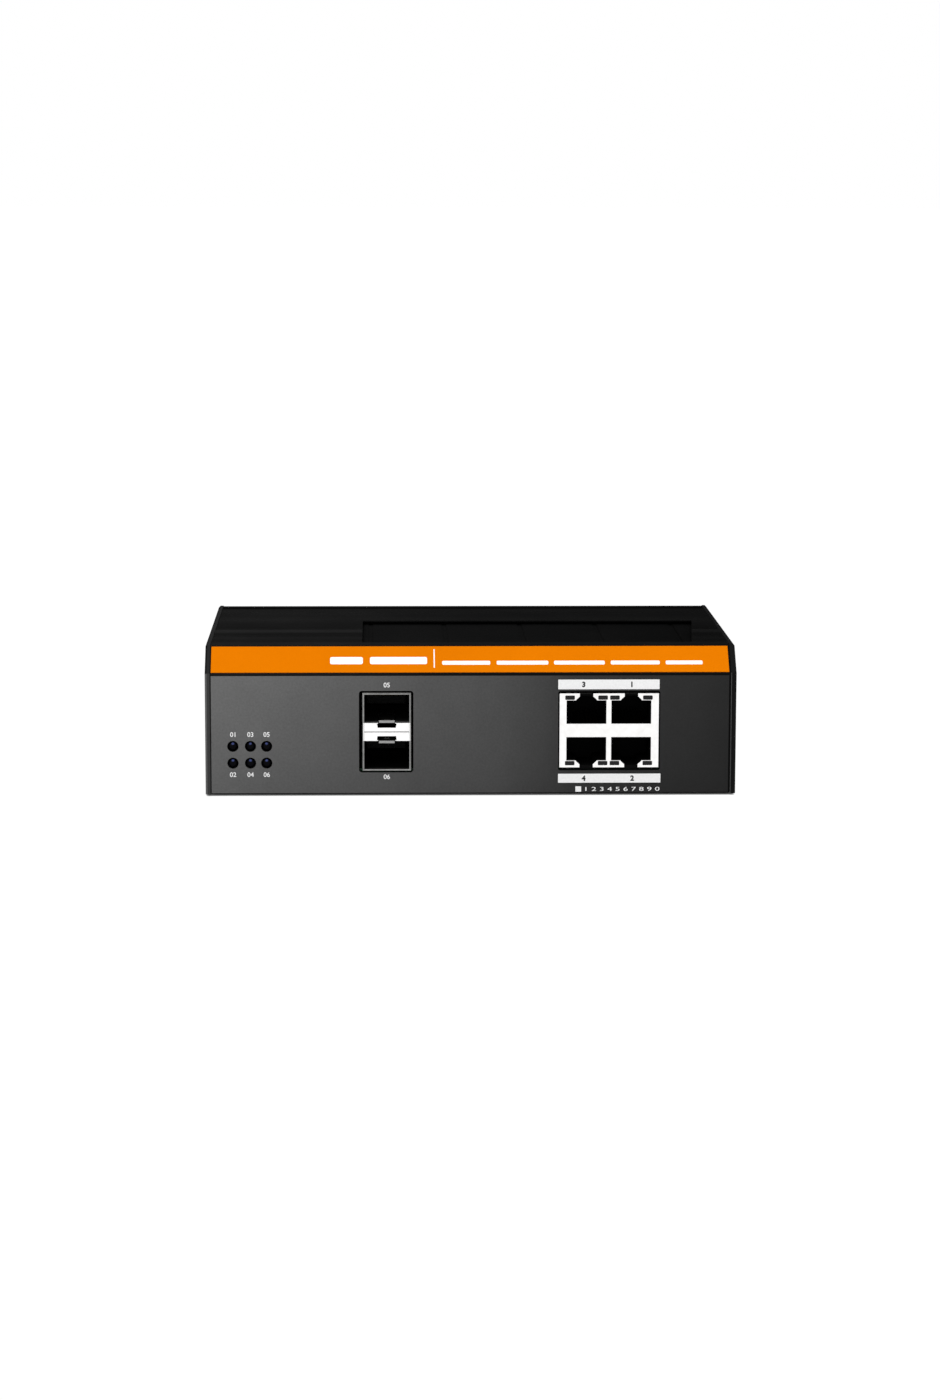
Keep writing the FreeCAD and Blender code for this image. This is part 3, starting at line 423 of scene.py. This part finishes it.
def black_label():
    """Blank label plate, with painted shade darkening it towards the right, away from the light.
    """
    m = Material("black_label", specular=0.008)
    speckle = m.noise(1800, detail=2)
    cloud = m.noise(40)
    label_painted_falloff = m.profile(m.along(X), (-35, 75), [(-35, 0.62), (20, 0.48), (75, 0.30)])
    m.colour(m.mix(1.0, m.tone(cloud, 0.0078, 0.0108), label_painted_falloff, "MULTIPLY"))
    m.roughness(speckle, low=0.5, high=0.65)
    m.relief(speckle, depth=0.008, strength=0.6, under=m.soft_edges(0.08))


def green_board():
    """Laminate with solder mask over a track pattern."""
    m = Material("green_board")
    cells = m.voronoi((420, 420, 1), feature="DISTANCE_TO_EDGE")
    tracks = m.remap(cells, over=(0.05, 0.09), to=(1.0, 0.0), smooth=True)
    noise = m.noise(600)
    mask = m.tone(noise, (0.004, 0.055, 0.020), (0.006, 0.075, 0.028))
    m.colour(m.mix(tracks, mask, (0.012, 0.14, 0.05)))
    m.roughness(noise, low=0.28, high=0.4)
    m.relief(tracks, depth=0.03, strength=0.6)


# -------------------------------------------------------------- nickel sheet
cage_lo, cage_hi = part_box("sfp_cage")
divider_lo, divider_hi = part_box("sfp_divider")

# metres: painted shade starts this far behind the front of the bright face, and a bright zone
# blends over this much on either side of its ends
LIP = 0.0006
ZONE_BLEND = 0.0001


def nickel(name, node, reach, dark, tones, zone=None):
    """Bright sheet with faint rub marks, rougher and with painted shade inside the openings.

    node: CAD piece whose front starts the painted shade; reach: length of its fade, in metres;
    dark: grey of the painted shade at depth; zone: z range, in metres, that is brighter in
    front.
    """
    m = Material(name, metallic=1.0)
    folds = m.noise((500, 900, 500), detail=4, distortion=0.6)
    rubs = m.noise((60, 2200, 2200))
    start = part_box(node)[0].y + LIP
    front = m.remap(m.along(Y), over=(start, start + reach), to=(1.0, 0.0), smooth=True)
    span = (0.25, 0.75)
    bright = m.tone(folds, *tones, span=span)
    if zone:
        low, high = ((at - ZONE_BLEND, at + ZONE_BLEND) for at in zone)
        inside = m.times(m.remap(m.along(Z), over=low),
                         m.remap(m.along(Z), over=high, to=(1.0, 0.0)))
        bright = m.mix(inside, bright, (0.95, 0.945, 0.93))
    shaded_inside = m.tone(folds, (dark, dark, dark * 0.96), (dark * 1.8, dark * 1.8, dark * 1.7),
                  span=span)
    # painted shade: bright at the front edge, going to the shaded tone deeper in
    m.colour(m.mix(front, shaded_inside, bright))
    extra = m.remap(front, over=(0.0, 1.0), to=(0.15, 0.0))
    m.drive("Roughness", m.math("ADD", m.remap(rubs, to=(0.30, 0.42)), extra))
    m.relief(folds, depth=0.012, strength=0.5, under=m.soft_edges(0.08))


def nickel_sheets():
    nickel("nickel_sheet", "rj45_shield", reach=0.0005, dark=0.02,
           tones=((0.86, 0.85, 0.83), (0.97, 0.965, 0.95)))
    # painted shade: the cage, collar and latches are darker copies of the same nickel, the cage
    # bright only where it meets the divider
    nickel("nickel_shaded_cage", "sfp_cage", reach=0.002, dark=0.012,
           tones=((0.22, 0.22, 0.215), (0.34, 0.34, 0.33)), zone=(divider_lo.z, divider_hi.z))
    nickel("nickel_divider", "sfp_divider", reach=0.004, dark=0.03,
           tones=((0.90, 0.89, 0.88), (0.98, 0.975, 0.965)))
    nickel("nickel_shaded_collar", "sfp_collar", reach=0.003, dark=0.03,
           tones=((0.20, 0.20, 0.195), (0.33, 0.33, 0.32)))
    nickel("nickel_shaded_latch", "sfp_latch_upper", reach=0.003, dark=0.03,
           tones=((0.24, 0.24, 0.235), (0.36, 0.36, 0.35)))


# ------------------------------------------------------------- small fittings
def gold_contact():
    """Gold plated contacts, in shade inside the module cage."""
    m = Material("gold_contact", metallic=1.0)
    noise = m.noise((1500, 300, 1500))
    gold = m.tone(noise, (0.55, 0.36, 0.11), (0.74, 0.51, 0.19))
    depths = (cage_lo.y + 0.002, cage_lo.y + 0.0065)
    gold_share = m.remap(m.along(Y), over=depths, to=(0.12, 0.05))
    m.colour(m.mix(gold_share, (0.012, 0.008, 0.003), gold))
    m.roughness(noise, low=0.24, high=0.38)
    m.relief(noise, depth=0.005, strength=0.4)


def smoked_lens():
    """Dark tinted lens with a painted cold highlight high on the dome, where the surface faces
    up and forward.
    """
    m = Material("smoked_lens", specular=0.03)
    noise = m.noise(500, detail=2)
    # painted highlight: cold blue where the normal faces up and forward
    likeness = m.dot(m.geometry("Normal"), (0.0, -0.80, 0.60))
    ragged = m.math("ADD", likeness, m.remap(noise, to=(-0.006, 0.006)))
    painted_glint = m.remap(ragged, over=(0.935, 0.995), smooth=True)
    body = m.tone(noise, (0.0012, 0.0012, 0.0018), (0.002, 0.002, 0.003))
    m.colour(m.mix(painted_glint, body, (0.045, 0.060, 0.17)))
    m.roughness(noise, low=0.22, high=0.30)
    m.relief(noise, depth=0.004, strength=0.3)


def green_plastic():
    """Terminal plastic."""
    m = Material("green_plastic", specular=0.45)
    grain = m.noise(1700, detail=2)
    cloud = m.noise(120)
    m.colour(m.tone(m.blend(grain, cloud, share=0.3),
                    (0.006, 0.15, 0.045), (0.010, 0.21, 0.066)))
    m.roughness(grain, low=0.34, high=0.46)
    m.relief(grain, depth=0.012, strength=0.5, under=m.soft_edges(0.15))


def zinc_steel():
    """Zinc plate with a faint patchwork of crystals."""
    m = Material("zinc_steel", metallic=1.0)
    cells = m.voronoi(260, output="Color")
    crystal = m.split("ShaderNodeSeparateColor", cells)[0]
    noise = m.noise(900)
    m.colour(m.tone(m.blend(crystal, noise, share=0.25),
                    (0.44, 0.46, 0.49), (0.66, 0.68, 0.71), span=(0.25, 0.75)))
    m.roughness(noise, low=0.30, high=0.46)
    m.relief(noise, depth=0.008, strength=0.4, under=m.soft_edges(0.12))


def capacitor_can():
    """Dark sleeve with a bare metal top."""
    m = Material("capacitor_can")
    normal = m.split("ShaderNodeSeparateXYZ", m.geometry("Normal"))
    top = m.remap(normal[Z], over=(0.8, 0.95))
    noise = m.noise(700)
    sleeve = m.tone(noise, (0.006, 0.007, 0.012), (0.010, 0.012, 0.02))
    m.colour(m.mix(top, sleeve, 0.7))
    m.drive("Metallic", top)
    m.roughness(noise, low=0.3, high=0.42)
    m.relief(noise, depth=0.006, strength=0.4)


# --------------------------------------------------------- build the materials
black_anodised()
black_plate()
grey_film()
orange_film()
black_label()
# black oxide fasteners
plain("black_screw", grain=900, detail=4, tones=(0.03, 0.065), rough=(0.32, 0.5),
      relief=(0.01, 0.5), edge=0.12, wear=(0.5, 0.28), metallic=0.85)
green_board()
plain("brass", grain=(300, 300, 2600), tones=((0.62, 0.42, 0.15), (0.78, 0.56, 0.24)),
      rough=(0.22, 0.36), relief=(0.006, 0.5), edge=0.1, metallic=1.0)
nickel_sheets()
plain("black_plastic", grain=1900, detail=2, tones=(0.0035, 0.0065), rough=(0.45, 0.6),
      relief=(0.015, 0.6), edge=0.08, specular=0.3)
# the jack block's body, deep in shade
plain("block_black", grain=1900, detail=2, tones=(0.0010, 0.0020), rough=(0.5, 0.65),
      relief=(0.015, 0.6), specular=0.04)
# unlit light pipes, smoky against the dark block
plain("clear_plastic", grain=700, tones=(0.003, 0.008), rough=(0.2, 0.32),
      relief=(0.01, 0.4), edge=0.1, specular=0.2)
gold_contact()
plain("spring_steel", grain=(200, 1800, 1800), tones=((0.42, 0.41, 0.39), (0.58, 0.57, 0.54)),
      rough=(0.28, 0.42), relief=(0.006, 0.4), edge=0.05, metallic=1.0)
smoked_lens()
green_plastic()
plain("tinned_pin", grain=700, detail=4, tones=((0.55, 0.55, 0.54), (0.74, 0.74, 0.72)),
      rough=(0.3, 0.48), relief=(0.008, 0.4), edge=0.08, metallic=1.0)
plain("white_plastic", grain=1700, detail=2, tones=(0.90, 0.98), rough=(0.42, 0.55),
      relief=(0.004, 0.4), specular=0.3)
plain("white_ink", grain=1700, detail=2, tones=(0.74, 0.80), rough=(0.45, 0.6),
      relief=(0.004, 0.4), specular=0.1)
plain("black_ink", grain=1700, detail=2, tones=(0.006, 0.014), rough=(0.5, 0.6), specular=0.15)
zinc_steel()
# coated rail bracket
plain("rail_black", grain=1500, tones=(0.010, 0.019), rough=(0.42, 0.56),
      relief=(0.03, 0.6), edge=0.3, wear=(0.55, 0.10), specular=0.3)
# chip mould compound
plain("chip_black", grain=2200, detail=2, tones=(0.008, 0.016), rough=(0.5, 0.66),
      relief=(0.01, 0.6), edge=0.1, specular=0.3)
# silicone gap pad
plain("pad_grey", grain=800, tones=((0.08, 0.10, 0.13), (0.12, 0.14, 0.17)),
      rough=(0.6, 0.75), relief=(0.02, 0.5), specular=0.3)
# milled, with the cutter lines along X
plain("bare_aluminium", grain=(40, 2200, 2200), tones=(0.62, 0.78), rough=(0.28, 0.42),
      relief=(0.01, 0.5), edge=0.15, metallic=1.0)
capacitor_can()
plain("ferrite", grain=1400, detail=4, tones=(0.02, 0.045), rough=(0.5, 0.7),
      relief=(0.02, 0.6), edge=0.15, specular=0.35)

# pieces whose look differs from the rest of their slot
NODE_MATERIALS = {
    "sfp_cage": "nickel_shaded_cage",
    "sfp_divider": "nickel_divider",
    "sfp_collar": "nickel_shaded_collar",
    "sfp_latch_upper": "nickel_shaded_latch",
    "sfp_latch_lower": "nickel_shaded_latch",
    "rj45_insulator": "block_black",
}


def dress(node, material):
    slots = frame["nodes"][node].data.materials
    slots.clear()
    slots.append(MATERIALS[material])


for part in frame["record"]["subparts"]:
    dress(part["node"], part["material_slot"])
for node_name, material_name in NODE_MATERIALS.items():
    dress(node_name, material_name)


# --------------------------------------------------------------- mesh helpers
def new_object(name, bm, slot, material=None, smooth=False):
    bmesh.ops.recalc_face_normals(bm, faces=bm.faces)
    mesh = bpy.data.meshes.new(name)
    bm.to_mesh(mesh)
    bm.free()
    if smooth:
        for polygon in mesh.polygons:
            polygon.use_smooth = True
    obj = bpy.data.objects.new(name, mesh)
    collection.objects.link(obj)
    mesh.materials.append(MATERIALS[material or slot])
    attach(obj, "case")
    return obj


def prism(bm, outline, place, layer):
    """Closed prism; place(u, v, out) gives a point in mm, layer is its (inner, outer) height."""
    inner, outer = ([bm.verts.new(Vector(place(u, v, out)) * MM) for u, v in outline]
                    for out in layer)
    bm.faces.new(inner[::-1])
    bm.faces.new(outer)
    for i in range(len(outline)):
        j = (i + 1) % len(outline)
        bm.faces.new((inner[i], inner[j], outer[j], outer[i]))


def round_rect(x0, x1, y0, y1, radius):
    steps = 4
    corners = ((x1 - radius, y1 - radius, 0), (x0 + radius, y1 - radius, 90),
               (x0 + radius, y0 + radius, 180), (x1 - radius, y0 + radius, 270))
    points = []
    for x, y, start in corners:
        for i in range(steps + 1):
            angle = math.radians(start + 90 * i / steps)
            points.append((x + radius * math.cos(angle), y + radius * math.sin(angle)))
    return points


def numeral(bm, text, x, y, height, layer, bold=0.0, width=None):
    """Text in Blender's built-in font, centred on the front film as closed prisms."""
    curve = bpy.data.curves.new("numeral_tmp", "FONT")
    curve.body = text
    curve.size = 1.0
    curve.align_x = "CENTER"
    curve.resolution_u = 5
    curve.extrude = 0.5
    curve.offset = bold
    obj = bpy.data.objects.new("numeral_tmp", curve)
    collection.objects.link(obj)
    bpy.context.view_layer.update()
    depsgraph = bpy.context.evaluated_depsgraph_get()
    mesh = bpy.data.meshes.new_from_object(obj.evaluated_get(depsgraph))
    xs = [vertex.co.x for vertex in mesh.vertices]
    ys = [vertex.co.y for vertex in mesh.vertices]
    scale_y = height / (max(ys) - min(ys))
    scale_x = scale_y if width is None else width / (max(xs) - min(xs))
    middle_x, middle_y = (max(xs) + min(xs)) / 2, (max(ys) + min(ys)) / 2
    verts = []
    for vertex in mesh.vertices:
        u = x + (vertex.co.x - middle_x) * scale_x
        v = y + (vertex.co.y - middle_y) * scale_y
        out = layer[0] if vertex.co.z < 0 else layer[1]
        verts.append(bm.verts.new(Vector(on_front(u, v, out)) * MM))
    for polygon in mesh.polygons:
        # guards against a glyph that repeats a face, which bmesh refuses
        try:
            bm.faces.new([verts[i] for i in polygon.vertices])
        except ValueError:
            pass
    bpy.data.objects.remove(obj)
    bpy.data.meshes.remove(mesh)


# --------------------------------------------------------------- print planes
SLOPE = math.sqrt(0.5)     # sine and cosine of the band's 45 degree slope
BAND_START = 0.25          # origin of the band's print, up the slope from its lower edge

front_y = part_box("front_film")[0].y / MM
band_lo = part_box("band_film")[0]
band_y = band_lo.y / MM
band_z = band_lo.z / MM + BAND_START * SLOPE


def on_front(x, z, out):
    return (x, front_y - out, z)


def on_band(x, up, out):
    return (x, band_y + up * SLOPE - out * SLOPE, band_z + up * SLOPE + out * SLOPE)


INK = 0.02                 # thickness of one layer of ink
SINK = 0.004               # how far a layer sinks into what lies under it
FIRST_LAYER = (-SINK, INK)
SECOND_LAYER = (INK - SINK, 2 * INK)

# the printed layout keeps its place relative to the module cage
cage_x = (cage_lo.x + cage_hi.x) / 2 / MM
layout_x = cage_x + 26.0

# status lamps: two rows of three, their flanges touching the CAD box
LENS_R = 1.5
FLANGE_R = LENS_R + 0.2
COLUMN_PITCH = 5.45        # left column to middle column
leds_lo, leds_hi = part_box("status_leds")
left_column = leds_lo.x / MM + FLANGE_R
lamp_columns = [left_column, left_column + COLUMN_PITCH, leds_hi.x / MM - FLANGE_R]
upper_row, lower_row = leds_hi.z / MM - FLANGE_R, leds_lo.z / MM + FLANGE_R


def plates(bm, rows, place):
    """Rounded plates; rows are (x0, x1, y0, y1, radius) with x from the layout's origin."""
    for x0, x1, y0, y1, radius in rows:
        outline = round_rect(x0 + layout_x, x1 + layout_x, y0, y1, radius)
        prism(bm, outline, place, FIRST_LAYER)


def front_print_white():
    labels = []            # (text, x, z)
    for i, x in enumerate(lamp_columns):
        labels.append(("%02d" % (2 * i + 1), x, upper_row + 3.75))
        labels.append(("%02d" % (2 * i + 2), x, lower_row - 3.62))
    labels += [("05", cage_x, 34.5), ("06", cage_x, 5.55)]
    bm = bmesh.new()
    for text, x, z in labels:
        numeral(bm, text, x, z, height=1.5, layer=FIRST_LAYER, bold=0.012)
    plates(bm, [
        (27.4, 59.0, 33.05, 36.1, 0.12),      # panel above the jacks
        (27.5, 59.55, 3.5, 6.35, 0.12),       # panel below the jacks
        (32.95, 34.75, 0.65, 2.35, 0.1),      # key square at the bottom
    ], on_front)
    numeral(bm, "1 2 3 4 5 6 7 8 9 0", 47.7 + layout_x, 1.5, height=1.25,
            layer=FIRST_LAYER, width=23.2)
    new_object("front_print_white", bm, "white_plastic", material="white_ink")


def front_print_black():
    """Jack numbers on the white panels."""
    bm = bmesh.new()
    for text, x, z in (("3", 35.35, 34.58), ("1", 50.35, 34.58),
                       ("4", 35.5, 4.92), ("2", 50.7, 4.92)):
        numeral(bm, text, x + layout_x, z, height=1.75, layer=SECOND_LAYER, bold=0.045)
    new_object("front_print_black", bm, "black_label", material="black_ink")


def band_print_white():
    """Two heavy bars, a rule and five light bars."""
    rows = [(x0, x1, 3.1, 5.9, 0.6) for x0, x1 in ((-43.6, -33.4), (-31.2, -13.4))]
    rows.append((-11.35, -11.0, 1.7, 8.9, 0.12))
    light_bars = ((-8.7, 6.3), (8.3, 24.4), (26.2, 42.0), (43.9, 59.2), (61.1, 72.6))
    rows += [(x0, x1, 2.85, 4.35, 0.4) for x0, x1 in light_bars]
    bm = bmesh.new()
    plates(bm, rows, on_band)
    new_object("band_print_white", bm, "white_plastic")


# -------------------------------------------------------------- status lamps
def lathe(bm, centre_x, centre_z, profile, segments=48):
    """Turn (y, radius) stations, front to back, about an axis along Y."""
    rings = []
    for y, radius in profile:
        if radius < 1e-6:
            rings.append([bm.verts.new(Vector((centre_x, y, centre_z)) * MM)])
            continue
        ring = []
        for i in range(segments):
            angle = 2 * math.pi * i / segments
            point = (centre_x + radius * math.cos(angle), y, centre_z + radius * math.sin(angle))
            ring.append(bm.verts.new(Vector(point) * MM))
        rings.append(ring)
    for a, b in zip(rings, rings[1:]):
        for i in range(segments):
            j = (i + 1) % segments
            if len(a) == 1:
                bm.faces.new((a[0], b[i], b[j]))
            elif len(b) == 1:
                bm.faces.new((a[i], a[j], b[0]))
            else:
                bm.faces.new((a[i], a[j], b[j], b[i]))


def lamp_lenses():
    """Domes on short barrels, each with a flange at the back."""
    base_y = leds_lo.y / MM + LENS_R
    profile = []
    for degrees in range(0, 84, 7):
        angle = math.radians(degrees)
        profile.append((base_y - LENS_R * math.cos(angle), LENS_R * math.sin(angle)))
    profile += [
        (base_y, LENS_R), (base_y + 2.4, LENS_R), (base_y + 2.5, FLANGE_R),
        (base_y + 3.3, FLANGE_R), (base_y + 3.4, LENS_R + 0.1), (base_y + 3.4, 0),
    ]
    bm = bmesh.new()
    for x in lamp_columns:
        for z in (upper_row, lower_row):
            lathe(bm, x, z, profile)
    lamps = new_object("lamp_lenses", bm, "smoked_lens", smooth=True)
    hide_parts("status_leds")


# ------------------------------------------------------------- latch springs
WIRE_R = 0.24
SPRING_GAP = 0.02          # gap between a spring and the CAD box
TURNS = 7.6
END_TURNS = 0.8            # closed turns at each end


def coil(bm, x0, x1, centre_y, centre_z, radius, segments=10, steps_per_turn=28):
    """Wire coil along X."""
    steps = int(TURNS * steps_per_turn)
    across = Vector((1, 0, 0))
    rings = []
    for i in range(steps + 1):
        angle = 2 * math.pi * i / steps_per_turn
        travel = (i / steps * TURNS - END_TURNS) / (TURNS - 2 * END_TURNS)
        x = x0 + WIRE_R + (x1 - x0 - 2 * WIRE_R) * min(max(travel, 0), 1)
        outward = Vector((0, math.cos(angle), math.sin(angle)))
        centre = Vector((x, centre_y + radius * math.cos(angle),
                         centre_z + radius * math.sin(angle)))
        ring = []
        for k in range(segments):
            turn = 2 * math.pi * k / segments
            offset = outward * (WIRE_R * math.cos(turn)) + across * (WIRE_R * math.sin(turn))
            ring.append(bm.verts.new((centre + offset) * MM))
        rings.append(ring)
    for a, b in zip(rings, rings[1:]):
        for k in range(segments):
            j = (k + 1) % segments
            bm.faces.new((a[k], a[j], b[j], b[k]))
    bm.faces.new(rings[0])
    bm.faces.new(rings[-1][::-1])


def latch_springs():
    """Two springs, one at each end of the CAD box in Z."""
    lo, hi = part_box("rail_springs")
    centre_y, centre_z = (lo.y + hi.y) / 2 / MM, (lo.z + hi.z) / 2 / MM
    radius = (hi.y - lo.y) / 2 / MM - WIRE_R - SPRING_GAP
    spacing = (hi.z - lo.z) / 2 / MM - radius - WIRE_R - SPRING_GAP
    bm = bmesh.new()
    for side in (-1, 1):
        coil(bm, lo.x / MM + SPRING_GAP, hi.x / MM - SPRING_GAP,
             centre_y, centre_z + side * spacing, radius)
    springs = new_object("latch_springs", bm, "spring_steel", smooth=True)
    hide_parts("rail_springs")
    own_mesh(springs)


front_print_white()
front_print_black()
band_print_white()
lamp_lenses()
latch_springs()


# --------------------------------------------------------------------- stage
def floor_white():
    """To the camera, an evenly lit white sweep with only a close contact shade."""
    m = Material("floor_white", roughness=0.9, specular=0.0)
    m.colour(m.tone(m.noise(3, detail=2), 0.93, 0.95))
    occlusion = m.node("ShaderNodeAmbientOcclusion", samples=16)
    occlusion.inputs["Distance"].default_value = 0.006
    glow = m.node("ShaderNodeEmission")
    strength = m.remap(occlusion.outputs["AO"], over=(0.02, 0.46), to=(0.03, 1.02))
    m.link(strength, glow.inputs["Strength"])
    seen = m.node("ShaderNodeLightPath").outputs["Is Camera Ray"]
    surface = m.mix_shader(seen, m.principled.outputs[0], glow.outputs[0])
    m.link(surface, m.output.inputs["Surface"])


def studio_floor():
    bm = bmesh.new()
    bmesh.ops.create_grid(bm, x_segments=2, y_segments=2, size=12.0)
    mesh = bpy.data.meshes.new("studio_floor")
    bm.to_mesh(mesh)
    bm.free()
    floor = bpy.data.objects.new("studio_floor", mesh)
    floor.location = (0, 0, cad_lo.z - 0.0005)
    collection.objects.link(floor)
    floor_white()
    mesh.materials.append(MATERIALS["floor_white"])
    floor.visible_glossy = False


def studio_world():
    """White to the camera, even for diffuse light, a graded tent for reflections."""
    world = bpy.data.worlds.new("studio")
    scene.world = world
    world.use_nodes = True
    w = Shader(world.node_tree)
    output = w.node("ShaderNodeOutputWorld")

    def background(strength):
        node = w.node("ShaderNodeBackground")
        node.inputs[0].default_value = colour(1)
        node.inputs[1].default_value = strength
        return node

    def graded(value, stops):
        """Cool grey by direction: (direction from -1 to 1, brightness)."""
        cool = [(at, (level, level, level * 1.01)) for at, level in stops]
        return w.profile(value, (-1.0, 1.0), cool, unit=1.0)

    rays = w.node("ShaderNodeLightPath").outputs
    camera, diffuse, glossy = background(1.0), background(0.62), background(1.0)
    generated = w.node("ShaderNodeTexCoord").outputs["Generated"]
    direction = w.split("ShaderNodeSeparateXYZ", generated)
    front_to_back = graded(direction[Y], [
        (-1.0, 1.1), (-0.3, 0.9), (0.05, 0.45), (0.5, 0.32), (1.0, 0.34)])
    # a dim patch stands at the back, from the horizon up
    rear = graded(direction[Y], [(-1.0, 0.0), (0.10, 0.0), (0.5, 1.0)])
    low = graded(direction[Z], [
        (-1.0, 0.0), (-0.06, 0.0), (-0.01, 1.0), (0.30, 1.0), (0.72, 0.0)])
    dim_patch = w.mix(1.0, rear, low, "MULTIPLY")
    w.link(w.mix(dim_patch, front_to_back, (0.008, 0.008, 0.0084)), glossy.inputs[0])
    unseen = w.mix_shader(rays["Is Glossy Ray"], diffuse.outputs[0], glossy.outputs[0])
    sky = w.mix_shader(rays["Is Camera Ray"], unseen, camera.outputs[0])
    w.link(sky, output.inputs[0])


def soft_sun(name, source, power, spread, glossy=False):
    """Sun shining from `source` towards the origin; spread in degrees."""
    light = bpy.data.lights.new(name, "SUN")
    light.energy = power
    light.angle = math.radians(spread)
    sun = bpy.data.objects.new(name, light)
    sun.rotation_euler = (-Vector(source)).to_track_quat("-Z", "Y").to_euler()
    sun.location = Vector(source)
    collection.objects.link(sun)
    sun.visible_camera = False
    sun.visible_glossy = glossy


def studio_camera():
    data = bpy.data.cameras.new("camera")
    data.sensor_width = 36.0
    data.lens = 90.6
    data.clip_start, data.clip_end = 0.02, 60.0
    camera = bpy.data.objects.new("camera", data)
    right = Vector((0.999649, -0.026428, 0.0021006)).normalized()
    forward = Vector((0.026438, 0.987871, -0.153012)).normalized()
    up = right.cross(forward).normalized()
    turn = Matrix((right, up, -forward)).transposed().to_4x4()
    place = Vector((-29.076 + layout_x, -1139.439, 197.566)) * MM
    camera.matrix_world = Matrix.Translation(place) @ turn
    collection.objects.link(camera)
    scene.camera = camera


studio_floor()
studio_world()
soft_sun("key_left", source=(-0.62, -0.80, 1.0), power=1.45, spread=50, glossy=True)
soft_sun("fill_right", source=(0.9, -0.7, 0.7), power=0.45, spread=60)
soft_sun("rear_soft", source=(0.1, 1.0, 0.9), power=0.35, spread=60)
studio_camera()

scene.view_settings.view_transform = "Standard"
scene.view_settings.look = "None"
scene.view_settings.exposure = 0.0
scene.view_settings.gamma = 1.0
